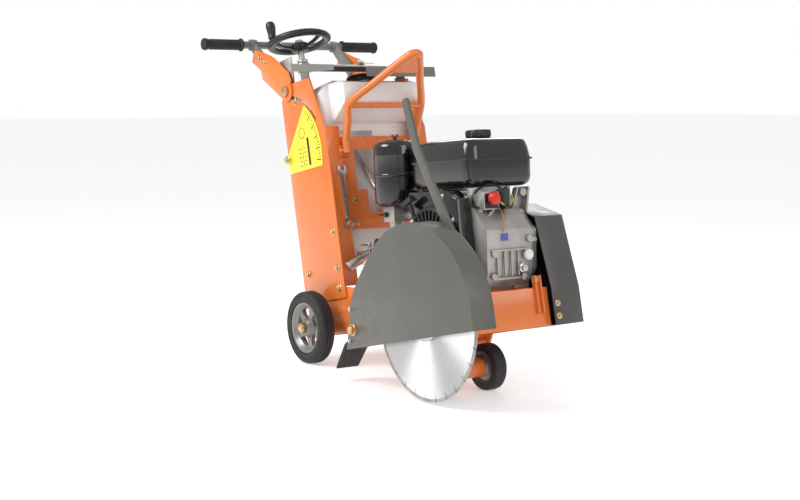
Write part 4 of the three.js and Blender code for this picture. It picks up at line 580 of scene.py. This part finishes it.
# ---------------------------------------------------------------- rear wheels
def rear_wheel(side, outer_y, column_y, body, names):
    """side is +1 on the left and -1 on the right; outer_y is the tyre's outer face."""
    middle = outer_y - side * 22.0
    r, h = REAR_RADIUS, 22.0
    tread = [(71.2, -h + 1), (76.0, -h), (86.0, -h), (87.0, -h + 1.2), (88.5, -h + 1.2), (89.5, -h),
             (r - 7, -h + 1.2),
             (r - 2.6, -h + 4), (r - 0.6, -h + 8), (r, -h + 13), (r, -7), (r - 2.5, -6), (r - 2.5, -3.6),
             (r, -2.6),
             (r, 2.6), (r - 2.5, 3.6), (r - 2.5, 6), (r, 7), (r, h - 13), (r - 0.6, h - 8), (r - 2.6, h - 4),
             (r - 7, h - 1.2), (89.5, h), (88.5, h - 1.2), (87.0, h - 1.2), (86.0, h), (76.0, h),
             (71.2, h - 1)]
    piece(names[0] + "_finished", lathe(tread, (0, middle, 0), "Y", 96), body, TYRE,
          replaces=(names[0],), smooth=40.0)
    y = lambda depth: outer_y - side * depth
    rim = lathe([(70.8, y(3)), (68.0, y(2.4)), (63.0, y(4.5)), (57.5, y(13)), (54.0, y(15)), (54.0, y(28)),
                 (60.0, y(32)), (70.8, y(38))], (0, 0, 0), "Y", 96)
    boss = lathe([(10.4, y(2.5)), (19.0, y(2.5)), (22.5, y(4.5)), (26.0, y(11)), (30.0, y(16)), (30.0, y(26)),
                  (22.0, y(34)), (18.0, y(40)), (18.0, column_y + side * 1.6), (10.4, column_y + side * 1.6)],
                 (0, 0, 0), "Y", 72)
    spokes = []
    for i in range(5):
        spoke = prism([(26, -13), (40, -8.5), (57, -15), (57, 15), (40, 8.5), (26, 13)],
                      *sorted((y(14), y(27))))
        spoke.transform(Matrix.Rotation(math.radians(72 * i + 18), 4, "Y"))
        spokes.append(spoke)
    piece(names[1] + "_finished", joined([rim, boss, *spokes]), body, HUB,
          replaces=(names[1],),
          smooth=38.0, bevel=1.2, steps=2)


rear_wheel(-1, -213.0, -140.0, "rear_wheel_right", ("rear_tyre_right", "rear_hub_right"))
rear_wheel(1, 273.0, 200.0, "rear_wheel_left", ("rear_tyre_left", "rear_hub_left"))

# ---------------------------------------------------------------- front wheels
for side_name in ("right", "left"):
    node = "front_wheel_" + side_name
    centre = DECK.inverted() @ middle_of(node)
    r, h = FRONT_RADIUS, 19.0
    solid = [(8.4, -h), (17, -h), (20, -h + 5), (24, -h + 7), (34, -h + 7), (38, -h + 3), (40, -h + 0.6),
             (r - 9, -h),
             (r - 4, -h + 1.2), (r - 1, -h + 4), (r, -h + 9), (r, h - 9), (r - 1, h - 4), (r - 4, h - 1.2),
             (r - 9, h), (40, h - 0.6), (38, h - 3), (34, h - 7), (24, h - 7), (20, h - 5), (17, h), (8.4, h)]
    wheel = piece(node + "_finished", lathe(solid, centre, "Y", 80), node, TYRE,
                  replaces=(node,), smooth=40.0)
    wheel.data.materials.append(HUB)
    wheel_middle = DECK @ centre
    for face in wheel.data.polygons:
        off = face.center - wheel_middle
        if math.hypot(off.x, off.z) < 39.0 * MM:
            face.material_index = 1

# ---------------------------------------------------------------- handle
BAR = (-226.0, 0.0, 858.0)
piece("handlebar_finished", lathe([(0.1, -295), (11, -295), (11, 295), (0.1, 295)], BAR, "Y", 48), "handle",
      CONSOLE,
      replaces=("handlebar",), smooth=40.0)
for side in (-1, 1):
    ribs = []
    for k in range(17):
        at = 186.0 + k * 5.6
        ribs += [(14.6, at), (15.6, at + 0.9), (15.6, at + 3.3), (14.6, at + 4.2)]
    profile = [(11.3, 174.0), (18.6, 174.0), (19.2, 175.5), (19.2, 178.0), (17.4, 180.0), (14.6, 182.5),
               *ribs, (14.6, 287.0), (17.4, 290.0), (17.6, 297.0), (16.0, 299.6), (0.1, 300.0), (0.1, 295.6),
               (11.3, 295.6)]
    node = "grip_right" if side < 0 else "grip_left"
    piece(node + "_finished", lathe([(r, side * y) for r, y in profile], BAR, "Y", 48), "handle", RUBBER,
          replaces=(node,), smooth=30.0)
bolts("handle_screws_right", [(-150, -145.5, 786), (-178, -145.5, 806)], "Y", "handle", GOLD_ZINC,
      7.0, -1)
bolts("handle_screws_left", [(-150, 157.2, 786), (-178, 157.2, 806)], "Y", "handle", GOLD_ZINC, 7.0,
      1)

# ---------------------------------------------------------------- handwheel and spindle
SPINDLE_TILT = 6.0
WHEEL_AT = (-104.0, -50.0, 838.0)
SPINDLE = DECK @ Matrix.Translation(WHEEL_AT) @ Matrix.Rotation(math.radians(-SPINDLE_TILT), 4, "Y")
KNOB_ANGLE = math.radians(264.0)
rim_points = [(83 + 12 * math.cos(a), 10.2 * math.sin(a)) for a in (2 * math.pi * k / 20 for k in range(20))]
hub_points = [(9.4, -30), (22, -30), (24.5, -28), (28, -12), (26, -8.5), (21, -6.5), (9.4, -6.2)]
wheel_parts = [lathe(rim_points, (0, 0, 0), "Z", 96,
                     lambda angle, radius, along: radius - (0.8 * max(0.0,
                         math.cos(24 * angle)) if along < 4 and
                                                            radius < 84 else 0.0)),
               lathe(hub_points, (0, 0, 0), "Z", 56)]
for k in range(3):
    a = KNOB_ANGLE + k * 2 * math.pi / 3
    arm = []
    for t in range(9):
        s = t / 8
        arm.append((20 + 54 * s, 11.0 - 3.0 * math.sin(math.pi * s), -19.0 + 17.0 * s * s))
    bm = bmesh.new()
    rows = []
    for x, half, z in arm:
        rows.append([bm.verts.new((x, -half, z)), bm.verts.new((x, -half * 0.55, z + 4.5)),
                     bm.verts.new((x, half * 0.55, z + 4.5)), bm.verts.new((x, half, z)),
                     bm.verts.new((x, half * 0.5, z - 4.0)), bm.verts.new((x, -half * 0.5, z - 4.0))])
    for p, q in zip(rows, rows[1:]):
        for i in range(6):
            j = (i + 1) % 6
            bm.faces.new((p[i], p[j], q[j], q[i]))
    bm.faces.new(rows[0])
    bm.faces.new(rows[-1])
    bm.transform(Matrix.Rotation(a, 4, "Z"))
    wheel_parts.append(bm)
knob_at = (82 * math.cos(KNOB_ANGLE), 82 * math.sin(KNOB_ANGLE), 0.0)
wheel_parts.append(lathe([(0.1, 4), (9, 4), (9, 11.4), (5, 11.4), (5, 61.5), (0.1, 61.5)], knob_at, "Z", 32))
piece("handwheel_finished", joined(wheel_parts), "handwheel", PLASTIC, SPINDLE,
      ("handwheel",), 40.0)
knob = [(5.3, 12), (11.5, 12), (12.6, 13.2), (11.6, 18), (11.2, 24), (12.6, 34), (13.8, 44), (13.9, 50),
        (13.0, 56),
        (10.6, 60.4), (7.4, 61.9), (5.3, 62)]
piece("crank_knob_finished", lathe(knob, knob_at, "Z", 48), "crank_knob", PLASTIC, SPINDLE,
      ("crank_knob",), 45.0)
thread = [(9.0 if k % 2 else 8.2, -232.0 + k * 1.5) for k in range(84)]
stem = [(0.1, -235), (8, -235), (8.6, -233), *thread, (9, -104), (9, -66), (15.5, -66), (16, -65), (16, -59),
        (15.5, -58),
        (9, -58), (9, -5.5), (9, 0), (0.1, 0)]
piece("spindle_finished", joined([lathe(stem, (0, 0, 0), "Z", 40), bolt((0, 0, -5.8), "Z", 13.0, 1, False)]),
      "handwheel",
      ZINC, SPINDLE, ("spindle",), 38.0)

# ---------------------------------------------------------------- lifting frame
CENTRE_Y = 30.0
FOOT_X = 136.0
half = [(FOOT_X, 116, 462), (FOOT_X, 116, 482), (FOOT_X + 3, 116.4, 504), (161, 118, 548), (185, 119.6, 592),
        (258, 72, 637), (318, 34, 672), (330, 26, 679)]
left_leg = [(x, CENTRE_Y + y, z) for x, y, z in half]
right_leg = [(x, CENTRE_Y - y, z) for x, y, z in half]
crown = [(350, CENTRE_Y - 13, 688.5), (357, CENTRE_Y, 690.5), (350, CENTRE_Y + 13, 688.5)]
frame_parts = [tube([*right_leg, *crown, *reversed(left_leg)], 11.0, 24, 5),
               tube([(181, CENTRE_Y - 116, 586), (181, CENTRE_Y, 586), (181, CENTRE_Y + 116, 586)], 8.0, 20,
                    2)]
for side in (-1, 1):
    y = CENTRE_Y + side * 116
    frame_parts.append(cuboid(121.4, 126.4, y - 18, y + 18, 456, 486))
plate = prism([(-66, -50), (-4, -12), (-4, 12), (-66, 50)], -3, 3, "Z")
plate.transform(Matrix.Translation((352, CENTRE_Y, 686)) @ Matrix.Rotation(math.radians(-30), 4, "Y"))
frame_parts.append(plate)
piece("lift_frame_finished", joined(frame_parts), "frame", ORANGE, replaces=("lift_frame",),
      smooth=40.0)

# ---------------------------------------------------------------- water tank, cap and hose
CAP_AT = (128.0, -6.0, 0.0)


def gripped(angle, radius, along):
    return radius - (1.4 * max(0.0, math.cos(20 * angle)) if radius > 38 and 666 < along < 680 else 0.0)


cap = [(0.1, 664.3), (40, 664.3), (41, 665.5), (41, 675), (39.5, 678.5), (36, 681), (20, 682), (18, 680.4),
       (0.1, 680.4)]
piece("tank_cap_finished", lathe(cap, CAP_AT, "Z", 120, gripped), "tank_cap_set", PLASTIC,
      replaces=("tank_cap",), smooth=35.0)
hose = [(157.5, -60, 182), (168, -60, 184), (182, -62, 197), (198, -68, 206), (216, -77, 202),
        (238, -91, 168),
        (267, -112, 120), (299, -133, 84), (330, -154, 42), (349, -164, 14), (353, -165, -1),
        (353, -165, -10.5)]
piece("water_hose_finished", joined([tube(hose, 6.0, 18, 6),
                                     tube([(158.5, -60, 182), (163, -60, 182.4), (168, -60.2, 184)], 7.6, 16,
                                          2),
                                     tube([(353, -165, 6), (353, -165, 0), (353, -165, -8)], 7.6, 16, 2)]),
      "frame", RUBBER, replaces=("water_hose",), smooth=50.0)

# ---------------------------------------------------------------- engine
CRANK = (20.0, 0.0, 118.0)


def rounded_rectangle(x0, x1, y0, y1, radius, steps=8):
    corners = [((x1 - radius, y1 - radius), 0), ((x0 + radius, y1 - radius), 90),
               ((x0 + radius, y0 + radius), 180),
               ((x1 - radius, y0 + radius), 270)]
    return [(cx + radius * math.cos(math.radians(turn + 90 * k / steps)),
             cy + radius * math.sin(math.radians(turn + 90 * k / steps)))
            for (cx, cy), turn in corners for k in range(steps + 1)]


def lofted(sections):
    """A closed body through outlines of the same number of points, each with its height."""
    bm = bmesh.new()
    rings = [[bm.verts.new((x, y, z)) for x, y in points] for points, z in sections]
    for a, b in zip(rings, rings[1:]):
        for i in range(len(a)):
            j = (i + 1) % len(a)
            bm.faces.new((a[i], a[j], b[j], b[i]))
    bm.faces.new(rings[0])
    bm.faces.new(rings[-1])
    return bm


TANK_LOW, TANK_SEAM, TANK_TOP = 256.0, 326.0, 383.0
TANK_CORNER = 30.0
tank_box = (-146.0, 116.0, -62.0, 150.0)


def tank_section(inset, z):
    x0, x1, y0, y1 = tank_box
    return rounded_rectangle(x0 + inset, x1 - inset, y0 + inset, y1 - inset,
                             max(TANK_CORNER - inset * 0.4, 8.0)), z


lower = [tank_section(22, TANK_LOW), tank_section(14, TANK_LOW + 1.5), tank_section(7, TANK_LOW + 6),
         tank_section(2, TANK_LOW + 14), tank_section(0, TANK_LOW + 24), tank_section(-0.5, TANK_SEAM - 3)]
flange = [tank_section(-5, TANK_SEAM - 2.4), tank_section(-5, TANK_SEAM + 2.4)]
upper = [tank_section(-0.5, TANK_SEAM + 3), tank_section(4, TANK_TOP - 28), tank_section(8, TANK_TOP - 15),
         tank_section(10.5, TANK_TOP - 10), tank_section(14, TANK_TOP - 7), tank_section(22, TANK_TOP - 4.2),
         tank_section(40, TANK_TOP - 2), tank_section(62, TANK_TOP)]
piece("fuel_tank_finished", lofted([*lower, *flange, *upper]), "frame", GLOSS_BLACK, ENGINE,
      ("fuel_tank",), 30.0)
piece("fuel_tank_seam", lofted([tank_section(-5.4, TANK_SEAM - 1.0), tank_section(-5.8, TANK_SEAM),
                                tank_section(-5.4, TANK_SEAM + 1.0)]), "frame", GLOSS_BLACK,
                                ENGINE,
      smooth=60.0)


def lobed(angle, radius, along):
    gripped_part = radius > 30 and along > TANK_TOP + 4
    return radius - (2.6 * max(0.0, math.cos(10 * angle)) ** 0.6 if gripped_part else 0.0)


fuel_cap = [(0.1, TANK_TOP + 0.4), (31, TANK_TOP + 0.4), (31.5, TANK_TOP + 3.5), (33, TANK_TOP + 4.5),
            (33, TANK_TOP + 17), (31, TANK_TOP + 20.5), (24, TANK_TOP + 22), (21, TANK_TOP + 20.8),
            (0.1, TANK_TOP + 20.8)]
piece("fuel_cap_finished", lathe(fuel_cap, (22, 44, 0), "Z", 120, lobed), "fuel_cap_set", PLASTIC,
      ENGINE,
      ("fuel_cap",), 35.0)

AIR = (-216.0, -52.0, 0.0)
canister = [(0.1, 216), (42, 216), (47, 217.5), (55, 224), (59, 229), (60, 234), (60, 295), (62, 297),
            (62.6, 300),
            (62, 303), (60, 305), (60, 352), (60.6, 354), (60, 356), (60, 372), (58.6, 379), (55, 385),
            (49, 389.5),
            (38, 391), (30, 391.4), (28, 393.4), (12, 394), (6, 395.5), (5, 396.5), (5, 403), (0.1, 404)]
wing_parts = [lathe(canister, AIR, "Z", 96)]
for side in (-1, 1):
    wing_parts.append(prism([(AIR[0] + side * 3, 397), (AIR[0] + side * 13, 402), (AIR[0] + side * 14, 408),
                             (AIR[0] + side * 9, 409), (AIR[0] + side * 3, 403)], AIR[1] - 1.6, AIR[1] + 1.6))
piece("air_cleaner_finished", joined(wing_parts), "frame", GLOSS_BLACK, ENGINE,
      ("air_cleaner",), 38.0)

RECOIL_Y = -128.0
dome = [(0.1, -104.4), (96, -104.4), (98, -106), (98, RECOIL_Y + 11), (95.5, RECOIL_Y + 6),
        (90, RECOIL_Y + 2.6),
        (86.5, RECOIL_Y + 2), (86.5, RECOIL_Y + 5), (50, RECOIL_Y + 5), (50, RECOIL_Y + 0.6), (44, RECOIL_Y),
        (38, RECOIL_Y - 4), (30, RECOIL_Y - 5), (0.1, RECOIL_Y - 5)]
recoil_parts = [lathe(dome, CRANK, "Y", 120)]
for k in range(30):
    vane = prism([(48, -1.7), (88, -1.7), (88, 1.7), (48, 1.7)], RECOIL_Y + 0.6, RECOIL_Y + 7)
    vane.transform(Matrix.Translation(CRANK) @ Matrix.Rotation(2 * math.pi * k / 30, 4, "Y"))
    recoil_parts.append(vane)
recoil_parts.append(tube([(-45.6, -118, 174.7), (-56, -118, 197), (-66.1, -118, 220.3)], 6.0, 16, 2))
piece("recoil_cover_finished", joined(recoil_parts), "frame", PLASTIC, ENGINE,
      ("recoil_cover",), 32.0)
grip_line = [(-90, -122, 220), (-80, -122, 224.5), (-70, -122, 229), (-60, -122, 233.5), (-50, -122, 238)]
piece("recoil_grip_finished", tube(grip_line, 8.6, 20, 3), "recoil_grip_set", PLASTIC,
      ENGINE,
      ("recoil_grip",), 50.0)

switch = lathe([(0.1, 0), (9, 0), (9, 4), (16, 6), (17, 7.5), (17, 14), (15, 18), (9, 20), (0.1, 20.4)],
               (0, 0, 0), "X", 48, lambda angle, radius, along: radius - (0.9 * max(0.0,
                   math.cos(12 * angle)) if radius > 15 else 0))
switch.transform(Matrix.Translation((150.3, -24, 228)))
piece("engine_switch_finished", switch, "engine_switch_set", RED, ENGINE, ("engine_switch",),
      40.0)
dip = lathe([(0.1, 0), (10, 0), (10, 4), (14, 5), (14, 11), (12, 13), (8, 16), (0.1, 16)], (0, 0, 0), "X", 40,
            lambda angle, radius, along: radius - (1.0 * max(0.0, math.cos(8 * angle)) if radius > 11 else 0))
dip.transform(Matrix.Translation((170.6, 64, 84)))
piece("oil_dipstick_finished", dip, "oil_dipstick_set", WHITE, ENGINE, ("oil_dipstick",),
      40.0)

# Small fittings on the engine's front and right side.
cover_bolts = [(150, 104.2, 60), (158, 104.2, 120), (110, 104.2, 190), (-10, 104.2, 193), (-74, 104.2, 130),
               (-74, 104.2, 36), (40, 104.2, 24), (125, 104.2, 26)]
bolts("side_cover_bolts", cover_bolts, "Y", "frame", ZINC, 5.0, 1, ENGINE)
shroud_bolts = [(-70, -104.3, 236), (56, -104.3, 238), (96, -104.3, 178), (106, -104.3, 76),
                (-62, -104.3, 64)]
bolts("shroud_bolts", shroud_bolts, "Y", "frame", ZINC, 5.0, -1, ENGINE)
recoil_bolts = [(CRANK[0] + 92 * math.cos(a), -124.5, CRANK[2] + 92 * math.sin(a))
                for a in (math.radians(d) for d in (20, 140, 260))]
bolts("recoil_bolts", recoil_bolts, "Y", "frame", ZINC, 4.0, -1, ENGINE)
foot_bolts = [(x, y, 9.2) for x in (-80, 120) for y in (-78, 60)]
bolts("engine_foot_bolts", foot_bolts, "Z", "frame", GOLD_ZINC, 7.5, 1, ENGINE)
piece("switch_box", cuboid(127, 150.2, -47, -1, 201, 243), "frame", PLASTIC, ENGINE,
      smooth=30.0,
      bevel=3.0, steps=3)
piece("plain_label", cuboid(172.2, 173.0, -16, 6, 122, 140), "frame", BLUE_LABEL, ENGINE,
      smooth=30.0,
      bevel=0.4, steps=1)
solenoid = joined([lathe([(0.1, 0), (14, 0), (15.5, 1.5), (15.5, 40), (14, 42), (0.1, 42)], (140, 22, 208),
                         "Z", 40),
                   cuboid(120, 160, 10, 34, 200, 208),
                   bolt((140, 16, 250), "Z", 4.0, 1, False), bolt((140, 28, 250), "Z", 4.0, 1, False)])
piece("starter_relay", solenoid, "frame", DARK_STEEL, ENGINE, smooth=35.0)
leads = joined([tube([(140, 16, 252), (120, 2, 262), (104, -30, 250), (112, -52, 214), (132, -50, 206)], 2.6,
                     10, 6),
                tube([(140, 28, 252), (128, 44, 252), (104, 60, 226), (96, 74, 180), (60, 92, 212),
                      (-20, 96, 216)], 2.6, 10, 6)])
piece("engine_leads", leads, "frame", RUBBER, ENGINE, smooth=60.0)
plug = joined([lathe([(0.1, 0), (8, 0), (8, 8), (5, 10), (5, 26), (0.1, 26)], (-160, 20, 236), "Z", 24),
               tube([(-160, 20, 258), (-160, 18, 250), (-140, -20, 252), (-104, -58, 240), (-76, -72, 222),
                     (-52, -78, 206)], 3.4, 12, 6)])
piece("spark_plug_lead", plug, "frame", RUBBER, ENGINE, smooth=50.0)
governor = joined([tube([(60, -56, 214), (86, -57, 236), (102, -58, 246)], 2.2, 10, 3),
                   cuboid(98, 106, -60, -57.5, 224, 252)])
spring_points = [(62 + 0.9 * k, -52 + 4.0 * math.cos(k * 1.57),
                  246 + 4.0 * math.sin(k * 1.57)) for k in range(38)]
piece("governor_arm", governor, "frame", ZINC, ENGINE, smooth=40.0)
piece("governor_spring", tube(spring_points, 0.9, 6, 3), "frame", ZINC, ENGINE, smooth=60.0)
louvres = []
for row in range(6):
    louvres.append(cuboid(-272, -198, 32.8, 34.2, 240 + row * 13, 246 + row * 13))
piece("muffler_louvres", joined(louvres), "frame", STEEL, ENGINE, smooth=30.0, bevel=0.5,
      steps=1)

# ---------------------------------------------------------------- screws on the sheet metal
RIGHT = -140.2
column_right = [(96, 96), (96, 150), (-60, 96), (-60, 150), (-20, 640), (98, 250)]
bolts("column_bolts_right", [(x, RIGHT, z) for x, z in column_right], "Y", "frame", GOLD_ZINC, 7.5,
      -1)
bolts("column_bolts_left", [(x, 200.2, z) for x, z in column_right], "Y", "frame", GOLD_ZINC, 7.5, 1)
bolts("scale_bolt", [(-78, -152.5, 484)], "Y", "depth_scale", GOLD_ZINC, 8.0, -1)
bolts("chassis_bolts_right", [(200, -135.0, 20), (240, -135.0, -20)], "Y", "frame", GOLD_ZINC, 8.0,
      -1)
guard_screws = [(452, 198.2, 222), (560, 198.2, 222), (668, 198.2, -40), (668, 198.2, 20), (560, 198.2, -66)]
bolts("belt_guard_screws", guard_screws, "Y", "frame", ZINC, 5.0, 1)
bolts("belt_guard_front_screws", [(688.3, 120, -30), (688.3, 120, -62)], "X", "frame", GOLD_ZINC,
      6.0, 1)
bolts("tension_bolt", [(670.3, 72, 34)], "X", "frame", GOLD_ZINC, 8.0, 1)
bolts("lift_frame_screws", [(126.6, CENTRE_Y - 116 - 12, 471), (126.6, CENTRE_Y + 116 + 12, 471)], "X",
      "frame",
      GOLD_ZINC, 4.5, 1)
bolts("cross_plate_bolts", [(116.0, y, z) for y in (-70, 130) for z in (270, 330, 490)], "X", "frame",
      GOLD_ZINC,
      6.0, 1)


# ---------------------------------------------------------------- castings and fittings on the engine's front
def at_engine(name, parts, material, bevel=1.5, smooth=35.0):
    piece(name, joined(parts), "frame", material, ENGINE, smooth=smooth, bevel=bevel, steps=2)


ribs = [cuboid(171.5, 176.0, y, y + 4, 34, 96) for y in (-34, -12, 10, 32)]
ribs.append(cuboid(171.5, 177.0, -50, 62, 96, 101))
ribs.append(cuboid(171.5, 175.0, -46, 40, 26, 31))
ribs += [lathe([(0.1, 0), (9, 0), (9, 7), (7.5, 8.5), (0.1, 8.5)], (170, y, z), "X", 32)
         for y, z in ((-44, 34), (50, 30), (-40, 90), (72, 124))]
at_engine("crankcase_ribs", ribs, CAST)
strut = [prism([(y, z) for y, z in ((66, 188), (110, 188), (122, 250), (122, 254), (92, 254), (88, 244))],
               98, 103, "X"),
         prism([(108, 188), (114, 188), (126, 252), (120, 254)], 98, 122, "X"),
         prism([(66, 188), (71, 188), (93, 250), (88, 252)], 98, 116, "X"),
         lathe([(0.1, 0), (11, 0), (11, 14), (9, 16), (0.1, 16)], (104, 106, 240), "X", 32)]
at_engine("tank_strut", strut, CAST)
flange_bosses = [lathe([(0.1, 0), (10, 0), (10, 22), (8.5, 24), (0.1, 24)], (x, 80, z), "Y", 32)
                 for x, _, z in cover_bolts[:3]]
at_engine("side_cover_bosses", flange_bosses, CAST)
breather = [tube([(-30, 60, 205), (10, 66, 222), (60, 70, 212), (96, 60, 196)], 5.0, 14, 6)]
at_engine("breather_hose", breather, RUBBER, 0, 60.0)
relay = [cuboid(112, 140, -6, 8, 212, 240), cuboid(116, 136, 40, 56, 214, 236)]
at_engine("relay_boxes", relay, RELAY, 2.0)
harness = [tube([(140, -2, 226), (152, 8, 214), (150, 26, 204), (148, 46, 222), (138, 50, 230)], 2.4, 10, 6),
           tube([(128, 2, 240), (126, 20, 250), (128, 42, 240)], 2.4, 10, 5)]
at_engine("yellow_leads", harness, LEAD, 0, 60.0)
oil_lead = [tube([(150, 0, 204), (166, -4, 188), (174, -6, 160), (176, -10, 146)], 2.2, 10, 6)]
at_engine("copper_lead", oil_lead, COPPER, 0, 60.0)
guard_strut = [prism([(-60, 150), (-54, 150), (-6, 196), (-6, 204), (-12, 204)], 128, 140, "X")]
at_engine("switch_strut", guard_strut, CAST)
oil_plug = [lathe([(0.1, 0), (13, 0), (13, 10), (9, 11), (9, 18), (0.1, 18)], (171, 44, 52), "X", 6),
            lathe([(0.1, 0), (12, 0), (12, 8), (0.1, 8)], (171, 64, 84), "X", 40)]
at_engine("oil_plug", oil_plug, ZINC, 0.6)

# ---------------------------------------------------------------- marks on the depth scale
SCALE_Y = -142.35
PIVOT = (-78.0, 484.0)
SCALE_MARK = surface("scale_marks", (0.015, 0.015, 0.015), (0.02, 0.02, 0.02), (0.4, 0.5), bump=0.02)


def mark(x0, x1, z0, z1):
    return cuboid(PIVOT[0] + x0, PIVOT[0] + x1, SCALE_Y - 0.35, SCALE_Y + 0.05, PIVOT[1] + z0, PIVOT[1] + z1)


marks = []
for k in range(20):
    turn = math.radians(-10.0 + k * 3.0)
    near, far = (144.0, 166.0) if k % 4 == 0 else (155.0, 166.0)
    along = Vector((math.cos(turn), math.sin(turn)))
    across = Vector((-along.y, along.x)) * (1.3 if k % 4 == 0 else 0.8)
    corners = [along * near - across, along * far - across, along * far + across, along * near + across]
    marks.append(prism([(PIVOT[0] + c.x, PIVOT[1] + c.y) for c in corners], SCALE_Y - 0.35, SCALE_Y + 0.05,
                       "Y"))
for k in range(5):
    marks.append(mark(52, 66, -30 + k * 12, -28 + k * 12))
    marks.append(mark(80, 88, -30 + k * 12, -28 + k * 12))
marks.append(mark(72, 73.5, -34, 26))
ring = [(PIVOT[0] + 78 + 15 * math.cos(a), SCALE_Y - 0.2, PIVOT[1] + 62 + 15 * math.sin(a))
        for a in (2 * math.pi * k / 24 for k in range(25))]
marks.append(tube(ring, 0.8, 6, 2))
piece("scale_marks", joined(marks), "depth_scale", SCALE_MARK, smooth=30.0)
pointer = joined([mark(102, 110, -34, 44)])
piece("scale_pointer", pointer, "frame", PLASTIC,
      DECK @ Matrix.Translation((0, -1.6, 0)),
      smooth=30.0, bevel=0.4)

# ---------------------------------------------------------------- floor
floor_mesh = bpy.data.meshes.new("floor")
floor_bm = bmesh.new()
bmesh.ops.create_grid(floor_bm, x_segments=1, y_segments=1, size=40.0)
floor_bm.to_mesh(floor_mesh)
floor_bm.free()
floor = bpy.data.objects.new("floor", floor_mesh)
bpy.context.scene.collection.objects.link(floor)
floor_material = surface("pale_floor", (0.84, 0.84, 0.845), (0.83, 0.83, 0.835), (0.6, 0.7), bump=0.0)
floor_shader = floor_material.node_tree.nodes["Principled BSDF"]
floor_shader.inputs["Emission Color"].default_value = (1.0, 1.0, 1.0, 1.0)
floor_shader.inputs["Emission Strength"].default_value = 0.40
floor_mesh.materials.append(floor_material)
